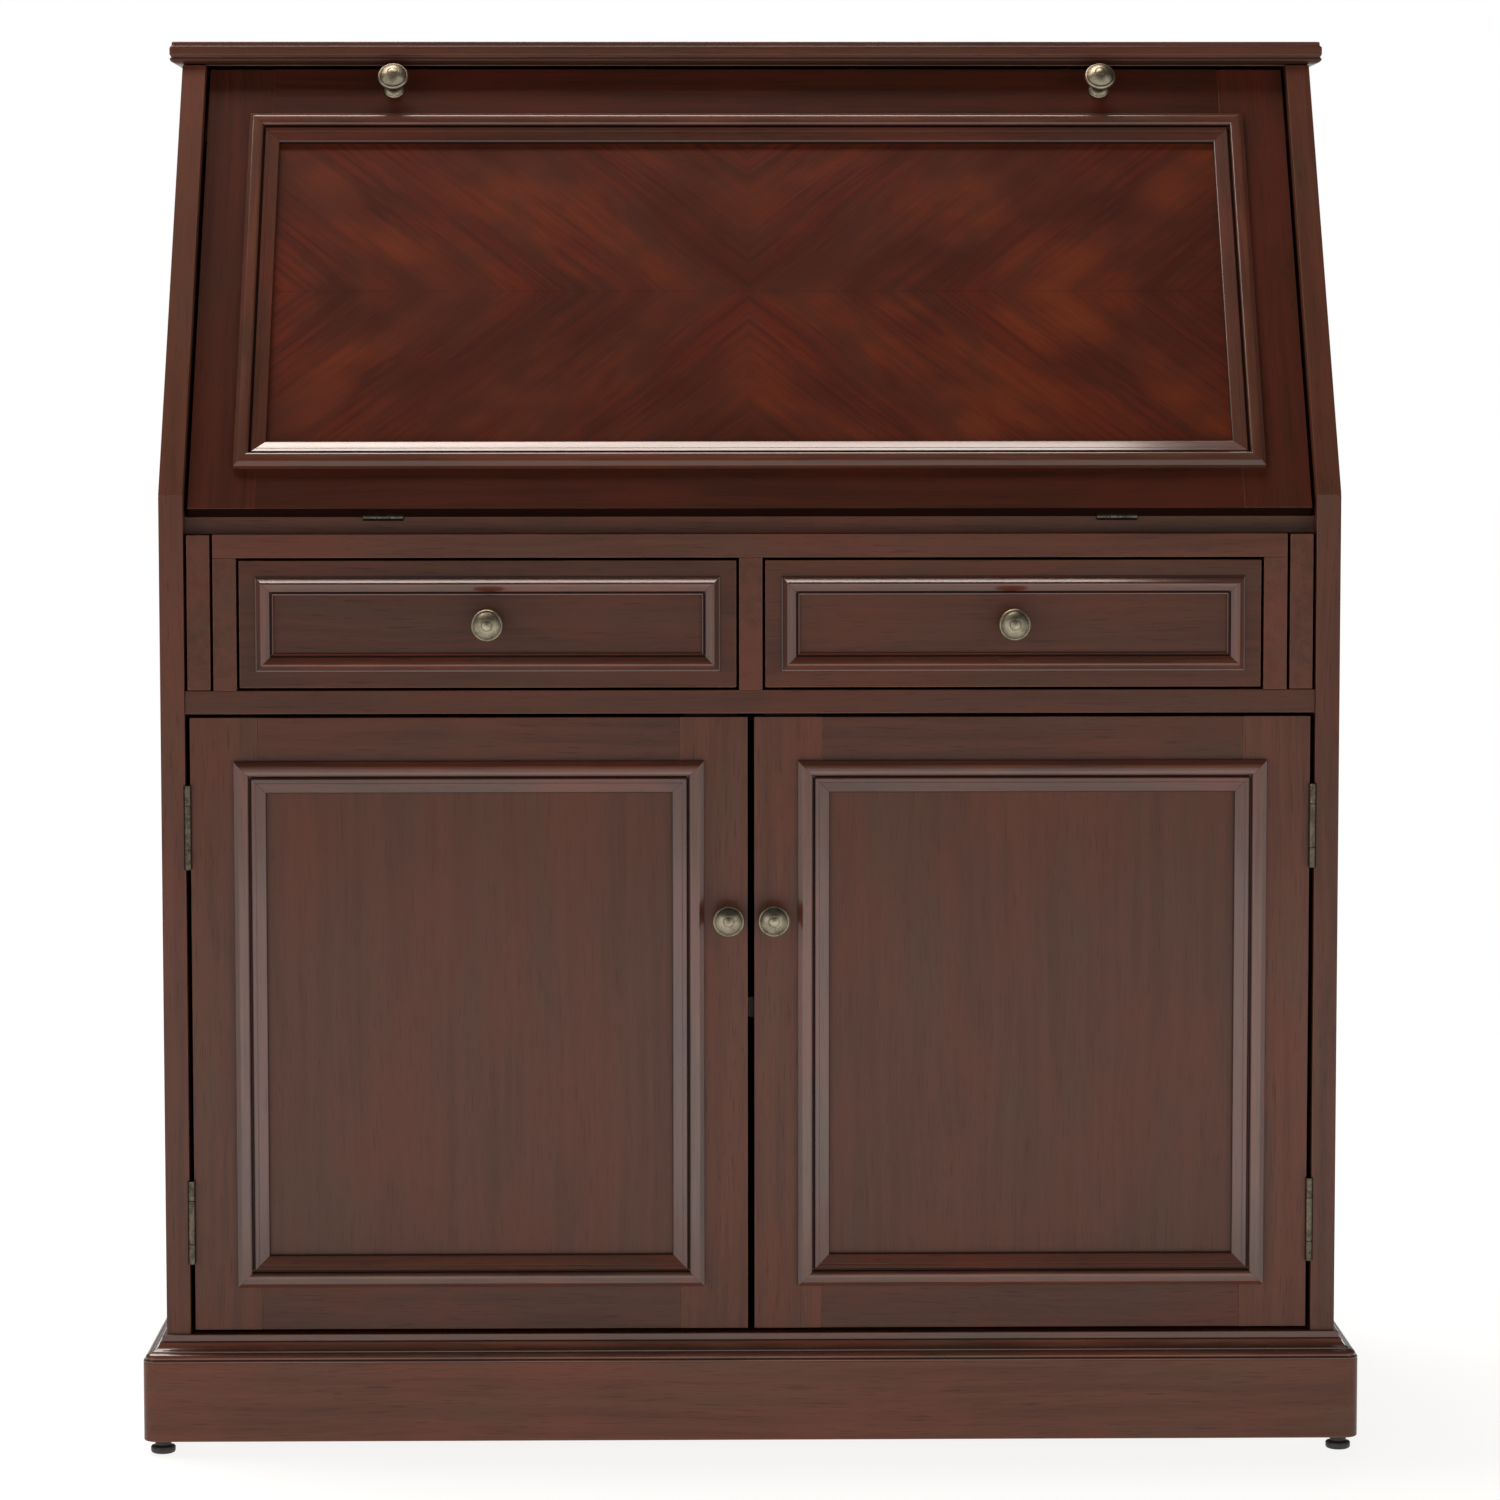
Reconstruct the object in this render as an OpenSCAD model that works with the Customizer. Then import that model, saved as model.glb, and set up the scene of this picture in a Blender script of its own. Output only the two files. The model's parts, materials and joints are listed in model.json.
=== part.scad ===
// Slant-front secretary desk: a case with two doors, two drawers, two lopers and a drop lid.
// Millimetres, +Z up, front towards -Y. The origin is on the floor, in the middle of the overall
// width and depth. Every board is its own solid, placed by the ranges it fills along X, Y and Z.

/* [Overall] */
// Width across the outside of the case sides
case_w = 880; // [740:10:1060]
// Depth of the case sides at the floor
case_d = 483; // [400:1:580]
// Height of the top face above the floor
desk_h = 1067; // [880:1:1290]
// Height of the writing surface above the floor
writing_h = 703; // [640:1:760]

/* [Boards] */
// Thickness of the case sides
side_t = 18; // [14:1:22]
// Thickness of the lipping on the front edges of the sides
lipping_t = 6; // [4:1:10]
// Height of the rails over and under the drawers
rail_h = 17.5; // [14:0.5:22]
// Depth of those rails from front to back
rail_d = 50; // [40:1:70]
// Distance of rails, drawers and doors behind the front edges of the sides
face_setback = 2; // [1:0.5:4]
// Thickness of the partitions beside and between the drawers
partition_t = 17.5; // [12:0.5:20]
// Thickness of the back panel
back_t = 6; // [4:1:10]
// Width of the rabbets in the sides that hold the back panel
rabbet_w = 9; // [6:1:12]
// Thickness of the cabinet floor
floor_t = 18; // [12:1:18]
// Thickness of the adjustable shelf
shelf_t = 16; // [12:1:22]
// Glue line between pieces that share a node
glue = 0.1; // [0.1:0.05:0.2]

/* [Top] */
// Thickness of the top board
top_t = 12.7; // [10:0.1:20]
// Thickness of the coved sub-top
cove_t = 5.5; // [4:0.5:10]
// Overhang of the top board over the sides, and the width of the cove
top_overhang = 10; // [6:1:12]
// Reach of the top board in front of the top end of the slope
top_front = 3; // [0:0.5:3]
// Radius of the nosing on the top board
nosing_r = 3.5; // [2:0.5:5]

/* [Plinth] */
// Height of the plinth boards
plinth_h = 60; // [40:1:90]
// Thickness of the plinth boards
plinth_t = 24; // [22:1:30]
// Projection of the plinth in front of the case and at its sides
plinth_out = 17; // [10:1:20]
// Height of the moulded cap on the plinth
cap_h = 19; // [19:1:26]
// Projection of the cap at its top edge
cap_top_out = 2; // [1:0.5:4]
// Radius of the plinth's two front corners
plinth_r = 10; // [4:1:14]
// Height of the glide feet
foot_h = 10; // [8:1:16]
// Radius of the glide feet
foot_r = 9.25; // [6:0.25:12]

/* [Lid] */
// Slope of the closed lid above the horizontal, in degrees
lid_slope = 57.5; // [54:0.5:62]
// Thickness of the lid's frame
lid_t = 12.2; // [10:0.2:14]
// Distance of the lid's hinge line behind the front edges of the sides
lid_setback = 15; // [12:1:20]
// Distance of the lid's face below the sloping edges of the sides
lid_recess = 9.3; // [6:0.1:12]
// Gap between the lid and each side
lid_gap = 3; // [2:0.5:4]
// Gap between the lid's upper edge and the sub-top
lid_top_gap = 2.7; // [2:0.1:6]
// Gap between the open lid and the rail below it
lid_rest_gap = 0.4; // [0.4:0.1:1]
// Width of the lid's stiles
lid_stile_w = 50.6; // [40:0.2:70]
// Width of the lid's upper rail
lid_top_rail_w = 62.4; // [40:0.2:75]
// Width of the lid's lower rail
lid_low_rail_w = 52.6; // [40:0.2:70]
// Depth of the lid's and the doors' panels below their frames
panel_recess = 3.5; // [2:0.5:6]
// Distance of the lid knobs from the middle of the lid
lid_knob_x = 275; // [200:1:320]
// Distance of the lid knobs from the lid's upper edge
lid_knob_in = 20; // [16:1:28]

/* [Mouldings] */
// Width of the moulding on the lid and the doors
mould_w = 24; // [16:0.5:30]
// Height of every moulding above the face it is glued to
mould_h = 6.5; // [4:0.5:9]
// How far the lid and door mouldings reach over their panels
mould_lip = 6; // [4:0.5:8]
// Width of the moulding on the drawer fronts
drawer_mould_w = 14; // [10:0.5:18]

/* [Drawers] */
// Height of the drawer openings
drawer_opening_h = 98.9; // [80:0.1:125]
// Gap round each drawer front
drawer_gap = 2; // [1.5:0.1:3]
// Thickness of the drawer fronts
drawer_front_t = 18; // [14:1:22]
// Margin from the edge of a drawer front to its moulding
drawer_margin = 12; // [8:0.5:20]
// Thickness of the drawer sides and backs
drawer_side_t = 12; // [9:1:15]
// Thickness of the drawer bottoms
drawer_bottom_t = 6; // [4:1:8]
// Distance of the drawer box below the upper edge of its front
drawer_box_drop = 12; // [6:1:20]
// Free space behind the drawers and the lopers
rear_space = 40; // [20:1:60]

/* [Lopers] */
// Thickness of the lopers
loper_t = 17.3; // [12:0.1:20]
// Gap on each side of a loper
loper_gap = 2.1; // [1.5:0.1:3]
// Gap over and under a loper
loper_clear = 0.4; // [0.4:0.1:1]

/* [Doors] */
// Thickness of the door frames
door_t = 18; // [16:1:22]
// Gap between a door and the side it hangs on
door_side_gap = 3.5; // [3.5:0.1:4]
// Gap between the two doors
door_middle_gap = 5; // [3:0.5:6]
// Gap over and under the doors
door_end_gap = 2.7; // [2:0.1:4]
// Width of the door stiles and rails
door_frame_w = 50.6; // [45:0.2:70]
// Height of the door knobs above the floor
door_knob_h = 402.5; // [330:0.5:460]
// Distance of the door knobs from the free edges of their doors
door_knob_in = 14.4; // [13:0.2:25]

/* [Hardware] */
// Radius of the knob heads
knob_r = 12; // [9:0.5:12.5]
// Projection of the knobs
knob_reach = 25.4; // [20:0.2:28]
// Radius of the hinge barrels
barrel_r = 2.75; // [2.5:0.05:3]
// Radius of the hinge pins
pin_r = 1.25; // [1:0.05:1.4]
// Running clearance of the pins in the moving knuckles
pin_clear = 0.05; // [0.02:0.01:0.08]
// Thickness of the hinge leaves
leaf_t = 1.5; // [1:0.1:1.5]
// Width of the door hinge leaves
door_leaf_w = 16; // [12:1:18]
// Length of the door hinges
door_hinge_len = 63; // [50:1:80]
// Length of the middle knuckle of the door hinges
door_knuckle_len = 33; // [20:1:40]
// Distance of the door hinges from the ends of the doors
door_hinge_in = 82; // [50:1:110]
// Width of the lid hinge leaves
lid_leaf_w = 20; // [14:1:30]
// Length of the lid hinges
lid_hinge_len = 30; // [24:1:50]
// Length of the middle knuckle of the lid hinges
lid_knuckle_len = 10; // [8:1:16]
// Distance of the lid hinges from the middle of the lid
lid_hinge_x = 274; // [200:1:330]
// Clearance round the barrels and between the knuckles
knuckle_clear = 0.3; // [0.3:0.05:0.5]

/* [Inside] */
// Height of the cabinet shelf's underside above the floor
shelf_h = 322; // [240:1:400]
// Radius of the shelf pins and their holes
shelf_pin_r = 2.5; // [2:0.5:3]
// Spacing of the shelf pin holes
shelf_pin_pitch = 32; // [25:1:40]
// Distance of the organiser behind the upper end of the closed lid
organiser_setback = 12; // [8:1:30]
// Thickness of the organiser's boards
organiser_t = 9; // [6:1:12]
// Height of the organiser's lower bays
lower_bay_h = 62; // [45:1:80]
// Width of the inner drawer's bay
inner_bay_w = 360; // [240:10:420]
// Number of pigeonholes over the organiser's shelf
pigeonholes = 5; // [3:1:7]
// Gap round the inner drawer
inner_gap = 1.5; // [1:0.1:2]
// Thickness of the inner drawer's front
inner_front_t = 12; // [9:1:15]
// Thickness of the inner drawer's sides and back
inner_side_t = 8; // [6:1:10]
// Thickness of the inner drawer's bottom
inner_bottom_t = 4; // [3:1:6]

/* [Hidden] */
$fn = 48;
eps = 1;

// Colours
frame_c = [0.30, 0.16, 0.11];
panel_c = [0.34, 0.13, 0.08];
mould_c = [0.26, 0.12, 0.08];
inner_c = [0.62, 0.46, 0.30];
pewter_c = [0.42, 0.40, 0.34];
bronze_c = [0.22, 0.18, 0.14];
glide_c = [0.08, 0.07, 0.07];
steel_c = [0.65, 0.65, 0.66];

// Depths: the knobs or the plinth reach furthest forward, and the case sides furthest back
front_reach = max(plinth_out, knob_reach - face_setback);
front_y = -(case_d - front_reach) / 2;
back_y = front_y + case_d;
face_y = front_y + face_setback;
panel_y = back_y - back_t;
hinge_y = front_y + lid_setback;

// Widths, as distances from the middle
out_x = case_w / 2;
in_x = out_x - side_t;
slot_w = loper_t + 2 * loper_gap;
partition_x = in_x - slot_w - partition_t;
loper_x = in_x - loper_gap - loper_t;

// Heights, from the floor up
plinth_z = foot_h + plinth_h;
floor_z = plinth_z + cap_h;
rail_z = writing_h - lid_t - lid_rest_gap;
drawer_top_z = rail_z - rail_h;
drawer_floor_z = drawer_top_z - drawer_opening_h;
door_top_z = drawer_floor_z - rail_h;
case_top_z = desk_h - top_t - cove_t;

// The slope of the sides lies in front of the lid's face by lid_recess
slope_off = lid_t + lid_recess;
break_z = writing_h + slope_off * cos(lid_slope)
    + (slope_off * sin(lid_slope) - lid_setback) * tan(lid_slope);
slope_top_y = front_y + (case_top_z - break_z) / tan(lid_slope);
lipping_rise = lipping_t * tan((90 - lid_slope) / 2);
lipping_run = lipping_t / sin(lid_slope);
top_front_y = slope_top_y - top_front;

// Lid, in its own frame: x across, y up the slope from the hinge line, z out of its inner face
lid_x = in_x - lid_gap;
lid_len = (case_top_z - lid_top_gap - writing_h - lid_t * cos(lid_slope)) / sin(lid_slope);
lid_in_x = lid_x - lid_stile_w;
board_gap = 0.4;

// Drawers and doors, right-hand ones
drawer_x0 = partition_t / 2 + drawer_gap;
drawer_x1 = partition_x - drawer_gap;
drawer_z0 = drawer_floor_z + drawer_gap;
drawer_z1 = drawer_top_z - drawer_gap;
box_inset = 1.5;
box_lift = 0.4;
bottom_lift = 8;
box_y0 = face_y + drawer_front_t;
box_y1 = panel_y - rear_space;
door_x0 = door_middle_gap / 2;
door_x1 = in_x - door_side_gap;
door_z0 = floor_z + door_end_gap;
door_z1 = door_top_z - door_end_gap;

// Hinges: the door hinge line is in the middle of the gap, level with the front of the case
door_hinge_x = in_x - door_side_gap / 2;
leaf_x = door_side_gap / 2 - leaf_t;
door_hinge_zs = [door_z0 + door_hinge_in, door_z1 - door_hinge_in];

// Cabinet shelf and organiser
shelf_y0 = face_y + door_t + 25;
shelf_y1 = panel_y - 1;
pin_ys = [shelf_y0 + 45, shelf_y1 - 45];
pin_in = 10;
pin_out = 8;
organiser_y = hinge_y + (case_top_z - writing_h) / tan(lid_slope) + organiser_setback;
organiser_z = writing_h + lower_bay_h;
inner_x = inner_bay_w / 2 - inner_gap;
inner_y = organiser_y + 2;
inner_z0 = writing_h + inner_gap;
inner_z1 = organiser_z - inner_gap;

// ---- Helpers ----

// A board that fills the given ranges
module board(x, y, z) {
    translate([x[0], y[0], z[0]])
        cube([x[1] - x[0], y[1] - y[0], z[1] - z[0]]);
}

// The child on the right, and its mirror image on the left
module both_sides() {
    children();
    mirror([1, 0, 0])
        children();
}

// The mirror image of the child, on the left
module left_side() {
    mirror([1, 0, 0])
        children();
}

// An outline in the Y-Z plane, extruded along X over a range
module along_x(x) {
    translate([x[0], 0, 0])
        rotate([90, 0, 90])
            linear_extrude(x[1] - x[0])
                children();
}

// An outline in the X-Z plane, extruded along Y over a range
module along_y(y) {
    translate([0, y[1], 0])
        rotate([90, 0, 0])
            linear_extrude(y[1] - y[0])
                children();
}

// The lid's frame, in the closed position
module on_lid() {
    translate([0, hinge_y, writing_h])
        rotate([lid_slope, 0, 0])
            children();
}

// A frame on an upright front: x across, y up, z out of the face
module on_front(y) {
    translate([0, y, 0])
        rotate([90, 0, 0])
            children();
}

// Points of an arc
function arc(c, r, a0, a1, n = 6) =
    [for (i = [0:n]) let (a = a0 + (a1 - a0) * i / n) [c[0] + r * cos(a), c[1] + r * sin(a)]];

// Points of an S-curve from a to b, level at both ends along the second axis
function cyma(a, b, n = 8) =
    [for (i = [0:n]) let (t = i / n)
        [a[0] + (b[0] - a[0]) * (1 - cos(180 * t)) / 2, a[1] + (b[1] - a[1]) * t]];

// Section of a panel moulding: [distance in from its outer edge, height above its seat]
function moulding_section(w, h, lip, drop) = concat(
    [[0, 0], [0, 0.4 * h]],
    arc([0.26 * w, 0.62 * h], 0.38 * h, 150, 20, 6),
    [[0.48 * w, 0.66 * h], [0.56 * w, 0.8 * h]],
    [for (i = [1:5]) let (t = i / 5) [w * (0.56 + 0.4 * t), h * (0.8 - 0.68 * sin(90 * t))]],
    lip > 0 ? [[w, 0.08 * h], [w, -drop], [w - lip, -drop], [w - lip, 0]] : [[w, 0.08 * h], [w, 0]]
);

// One moulding stick, its outer edge on the X axis and its ends cut at 45 degrees
module mitred_stick(len, w, section) {
    intersection() {
        along_x([-len / 2, len / 2])
            polygon(section);
        translate([0, 0, -20])
            linear_extrude(60)
                polygon([
                    [-len / 2 + glue - eps, -eps], [len / 2 - glue + eps, -eps],
                    [len / 2 - glue - w - eps, w + eps], [-len / 2 + glue + w + eps, w + eps]
                ]);
    }
}

// Four sticks round a rectangle of size w by h
module moulding_frame(w, h, stick_w, section) {
    for (i = [0:3]) {
        rotate([0, 0, 90 * i])
            translate([0, -(i % 2 == 0 ? h : w) / 2, 0])
                mitred_stick(i % 2 == 0 ? w : h, stick_w, section);
    }
}

// A turned knob that stands on z = 0
module knob(r, reach) {
    rotate_extrude()
        polygon(concat(
            [[0, 0], [0.66 * r, 0], [0.66 * r, 0.08 * reach], [0.42 * r, 0.16 * reach],
             [0.38 * r, 0.42 * reach], [0.5 * r, 0.55 * reach], [0.94 * r, 0.66 * reach],
             [r, 0.76 * reach]],
            [for (i = [1:5]) let (a = 18 * i) [r * cos(a) * 0.96, reach * (0.8 + 0.2 * sin(a))]],
            [[0, reach]]
        ));
}

// One leaf of a three-knuckle hinge: hinge line on the Z axis, leaf towards +Y
module hinge_leaf(len, mid, leaf_w, leaf_x0, outer, bore_r) {
    own = outer ? [[-len / 2, -(mid + knuckle_clear) / 2], [(mid + knuckle_clear) / 2, len / 2]]
        : [[-(mid - knuckle_clear) / 2, (mid - knuckle_clear) / 2]];
    other = outer ? [[-(mid + knuckle_clear) / 2, (mid + knuckle_clear) / 2]]
        : [[-len / 2 - eps, -(mid - knuckle_clear) / 2], [(mid - knuckle_clear) / 2, len / 2 + eps]];
    difference() {
        union() {
            difference() {
                translate([leaf_x0, 0, -len / 2])
                    cube([leaf_t, leaf_w, len]);
                for (k = other)
                    translate([0, 0, k[0]])
                        cylinder(r = barrel_r + knuckle_clear, h = k[1] - k[0]);
            }
            for (k = own)
                translate([0, 0, k[0]])
                    cylinder(r = barrel_r, h = k[1] - k[0]);
        }
        translate([0, 0, -len / 2 - eps])
            cylinder(r = bore_r, h = len + 2 * eps);
    }
}

// Room for a hinge barrel in the wood round it, hinge line on the Z axis
module barrel_room(len) {
    translate([0, 0, -len / 2 - knuckle_clear])
        cylinder(r = barrel_r + knuckle_clear, h = len + 2 * knuckle_clear);
}

// The child at each door hinge on the right
module at_door_hinges() {
    for (z = door_hinge_zs)
        translate([door_hinge_x, front_y, z])
            children();
}

// The child at each lid hinge, with its hinge line turned along X and its leaf towards +Y
module at_lid_hinges(turn) {
    for (x = [-lid_hinge_x, lid_hinge_x])
        translate([x, 0, 0])
            rotate([0, turn, 0])
                children();
}

// ---- Case ----

module side_panel() {
    difference() {
        along_x([in_x, out_x])
            polygon([
                [front_y + lipping_t, plinth_z], [back_y, plinth_z], [back_y, case_top_z],
                [slope_top_y + lipping_run, case_top_z], [front_y + lipping_t, break_z - lipping_rise]
            ]);
        board([in_x - eps, in_x + rabbet_w], [panel_y, back_y + eps], [plinth_z - eps, case_top_z + eps]);
        for (y = pin_ys, k = [-2:2])
            translate([in_x - eps, y, shelf_h - shelf_pin_r + k * shelf_pin_pitch])
                rotate([0, 90, 0])
                    cylinder(r = shelf_pin_r, h = pin_in + eps);
    }
}

module left_side_panel() {
    color(frame_c)
        left_side()
            side_panel();
}

module right_side_panel() {
    color(frame_c)
        side_panel();
}

module side_edge_lippings() {
    color(frame_c)
        both_sides()
            difference() {
                along_x([in_x, out_x]) {
                    polygon([
                        [front_y, plinth_z], [front_y + lipping_t, plinth_z],
                        [front_y + lipping_t, break_z - lipping_rise - glue], [front_y, break_z - glue]
                    ]);
                    polygon([
                        [front_y, break_z], [front_y + lipping_t, break_z - lipping_rise],
                        [slope_top_y + lipping_run, case_top_z], [slope_top_y, case_top_z]
                    ]);
                }
                at_door_hinges()
                    barrel_room(door_hinge_len);
            }
}

module top_board() {
    half = out_x + top_overhang;
    side_section = concat(
        arc([half - nosing_r, nosing_r], nosing_r, -90, 0),
        arc([half - nosing_r, top_t - nosing_r], nosing_r, 0, 90),
        arc([-half + nosing_r, top_t - nosing_r], nosing_r, 90, 180),
        arc([-half + nosing_r, nosing_r], nosing_r, 180, 270)
    );
    front_section = concat(
        [[back_y, 0], [back_y, top_t]],
        arc([top_front_y + nosing_r, top_t - nosing_r], nosing_r, 90, 180),
        arc([top_front_y + nosing_r, nosing_r], nosing_r, 180, 270)
    );
    color(frame_c)
        translate([0, 0, desk_h - top_t])
            intersection() {
                along_x([-half, half])
                    polygon(front_section);
                along_y([top_front_y - eps, back_y + eps])
                    polygon(side_section);
            }
}

module top_cove() {
    half = out_x + top_overhang;
    n = 8;
    curve = [for (i = [0:n]) let (a = 90 * i / n) [top_overhang * sin(a), cove_t * cos(a)]];
    side_section = concat(
        [for (p = curve) [half - p[0], p[1]]],
        [for (i = [n:-1:0]) [-half + curve[i][0], curve[i][1]]]
    );
    front_section = concat(
        [[back_y, 0], [back_y, cove_t]],
        [for (p = curve) [top_front_y + p[0], p[1]]]
    );
    color(frame_c)
        translate([0, 0, case_top_z])
            intersection() {
                along_x([-half, half])
                    polygon(front_section);
                along_y([top_front_y - eps, back_y + eps])
                    polygon(side_section);
            }
}

module back_panel() {
    color(inner_c)
        board([-in_x - rabbet_w, in_x + rabbet_w], [panel_y, back_y], [plinth_z, case_top_z]);
}

module cabinet_floor() {
    color(frame_c)
        board([-in_x, in_x], [front_y, panel_y], [floor_z - floor_t, floor_z]);
}

module mid_rail() {
    color(frame_c)
        board([-in_x, in_x], [face_y, face_y + rail_d], [door_top_z, drawer_floor_z]);
}

module drawer_floor_board() {
    color(inner_c)
        board([-in_x, in_x], [face_y + rail_d, panel_y], [door_top_z, drawer_floor_z]);
}

module drawer_top_rail() {
    color(frame_c)
        board([-partition_x - partition_t, partition_x + partition_t],
            [face_y, face_y + rail_d], [drawer_top_z, rail_z]);
}

module writing_board() {
    color(frame_c)
        difference() {
            board([-in_x, in_x], [hinge_y + board_gap, panel_y], [rail_z, writing_h]);
            translate([0, hinge_y, writing_h])
                at_lid_hinges(90) {
                    barrel_room(lid_hinge_len);
                    translate([0, 0, -lid_hinge_len / 2])
                        cube([leaf_t, lid_leaf_w, lid_hinge_len]);
                }
        }
}

// A partition under the writing board, notched for the drawer top rail
module partition(x) {
    difference() {
        board([x, x + partition_t], [face_y, panel_y], [drawer_floor_z, rail_z]);
        board([x - eps, x + partition_t + eps], [face_y - eps, face_y + rail_d], [drawer_top_z, rail_z + eps]);
    }
}

module loper_partitions() {
    color(frame_c)
        both_sides()
            partition(partition_x);
}

module centre_partition() {
    color(frame_c)
        partition(-partition_t / 2);
}

// ---- Plinth ----

plinth_x = out_x + plinth_out;
plinth_front_y = front_y - plinth_out;

// The plan of the plinth, with its two front corners rounded
module plinth_plan(z) {
    board([-plinth_x, plinth_x], [plinth_front_y + plinth_r, back_y], z);
    board([-plinth_x + plinth_r, plinth_x - plinth_r], [plinth_front_y, back_y], z);
    both_sides()
        translate([plinth_x - plinth_r, plinth_front_y + plinth_r, z[0]])
            cylinder(r = plinth_r, h = z[1] - z[0]);
}

module plinth_front() {
    color(frame_c)
        intersection() {
            board([-plinth_x, plinth_x], [plinth_front_y, plinth_front_y + plinth_t], [foot_h, plinth_z]);
            plinth_plan([foot_h - eps, plinth_z + eps]);
        }
}

module plinth_sides() {
    color(frame_c)
        both_sides()
            board([plinth_x - plinth_t, plinth_x], [plinth_front_y + plinth_t, back_y], [foot_h, plinth_z]);
}

module plinth_back() {
    color(inner_c)
        board([-plinth_x + plinth_t, plinth_x - plinth_t], [back_y - plinth_t, back_y], [foot_h, plinth_z]);
}

// Section of the cap: [projection from the case, height]
cap_section = concat(
    [[0, 0], [plinth_out, 0], [plinth_out, 0.12 * cap_h]],
    cyma([plinth_out - 1, 0.2 * cap_h], [cap_top_out + 2.5, 0.84 * cap_h]),
    [[cap_top_out, 0.9 * cap_h], [cap_top_out, cap_h], [0, cap_h]]
);

module plinth_cap_front() {
    color(frame_c)
        intersection() {
            along_x([-plinth_x, plinth_x])
                polygon([for (p = cap_section) [front_y - p[0], plinth_z + p[1]]]);
            translate([0, 0, plinth_z - eps])
                linear_extrude(cap_h + 2 * eps)
                    polygon([
                        [-plinth_x, plinth_front_y], [plinth_x, plinth_front_y],
                        [out_x, front_y], [-out_x, front_y]
                    ]);
            plinth_plan([plinth_z - eps, floor_z + eps]);
        }
}

module plinth_cap_sides() {
    color(frame_c)
        both_sides()
            intersection() {
                along_y([plinth_front_y, back_y])
                    polygon([for (p = cap_section) [out_x + p[0], plinth_z + p[1]]]);
                translate([0, 0, plinth_z - eps])
                    linear_extrude(cap_h + 2 * eps)
                        polygon([
                            [out_x, front_y], [plinth_x, plinth_front_y],
                            [plinth_x, back_y], [out_x, back_y]
                        ]);
                plinth_plan([plinth_z - eps, floor_z + eps]);
            }
}

module plinth_corner_blocks() {
    size = 40;
    x = [plinth_x - plinth_t - size, plinth_x - plinth_t];
    color(inner_c)
        both_sides() {
            board(x, [plinth_front_y + plinth_t, plinth_front_y + plinth_t + size], [foot_h + 10, plinth_z]);
            board(x, [back_y - plinth_t - size, back_y - plinth_t], [foot_h + 10, plinth_z]);
        }
}

module glide_feet() {
    color(glide_c)
        both_sides()
            for (y = [plinth_front_y + plinth_t / 2, back_y - plinth_t / 2])
                translate([plinth_x - plinth_t / 2 - 2, y, 0])
                    cylinder(r = foot_r, h = foot_h);
}

// ---- Inside the case ----

module cabinet_shelf() {
    color(frame_c)
        board([-in_x + 1, in_x - 1], [shelf_y0, shelf_y1], [shelf_h, shelf_h + shelf_t]);
}

module shelf_pins() {
    color(steel_c)
        both_sides()
            for (y = pin_ys)
                translate([in_x - pin_out, y, shelf_h - shelf_pin_r])
                    rotate([0, 90, 0])
                        cylinder(r = shelf_pin_r, h = pin_out + pin_in);
}

module organiser_boards() {
    y = [organiser_y, panel_y];
    bay_w = 2 * in_x / pigeonholes;
    color(frame_c) {
        board([-in_x, in_x], y, [organiser_z, organiser_z + organiser_t]);
        for (i = [1:pigeonholes - 1])
            board([i * bay_w - in_x - organiser_t / 2, i * bay_w - in_x + organiser_t / 2], y,
                [organiser_z + organiser_t + glue, case_top_z]);
        both_sides()
            board([inner_bay_w / 2, inner_bay_w / 2 + organiser_t], y, [writing_h, organiser_z - glue]);
    }
}

module door_catches() {
    y = face_y + door_t + 0.6;
    color(glide_c)
        both_sides()
            board([10, 50], [y, y + 14], [door_top_z - 14, door_top_z]);
}

module lid_stops() {
    color(frame_c)
        on_lid()
            both_sides()
                board([in_x - 10, in_x], [lid_len - 60, lid_len - 12], [-10 - board_gap, -board_gap]);
}

// ---- Hinges ----

module door_hinge_case_leaves() {
    color(bronze_c)
        both_sides()
            at_door_hinges()
                hinge_leaf(door_hinge_len, door_knuckle_len, door_leaf_w, leaf_x, true, pin_r);
}

module door_leaves() {
    at_door_hinges()
        hinge_leaf(door_hinge_len, door_knuckle_len, door_leaf_w, -leaf_x - leaf_t, false,
            pin_r + pin_clear);
}

module lid_hinge_board_leaves() {
    color(bronze_c)
        translate([0, hinge_y, writing_h])
            at_lid_hinges(90)
                hinge_leaf(lid_hinge_len, lid_knuckle_len, lid_leaf_w, 0, true, pin_r);
}

module hinge_pins() {
    color(steel_c) {
        both_sides()
            at_door_hinges()
                translate([0, 0, -door_hinge_len / 2])
                    cylinder(r = pin_r, h = door_hinge_len);
        translate([0, hinge_y, writing_h])
            at_lid_hinges(90)
                translate([0, 0, -lid_hinge_len / 2])
                    cylinder(r = pin_r, h = lid_hinge_len);
    }
}

// ---- Lid ----

module lid_stiles() {
    color(frame_c)
        on_lid()
            both_sides()
                board([lid_in_x, lid_x], [0, lid_len], [0, lid_t]);
}

module lid_rails() {
    color(frame_c)
        on_lid() {
            board([-lid_in_x, lid_in_x], [lid_len - lid_top_rail_w, lid_len], [0, lid_t]);
            difference() {
                board([-lid_in_x, lid_in_x], [0, lid_low_rail_w], [0, lid_t]);
                at_lid_hinges(-90) {
                    barrel_room(lid_hinge_len);
                    translate([0, 0, -lid_hinge_len / 2])
                        cube([leaf_t, lid_leaf_w, lid_hinge_len]);
                }
            }
        }
}

module lid_panel() {
    color(panel_c)
        on_lid()
            board([-lid_in_x, lid_in_x], [lid_low_rail_w, lid_len - lid_top_rail_w], [0, lid_t - panel_recess]);
}

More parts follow.
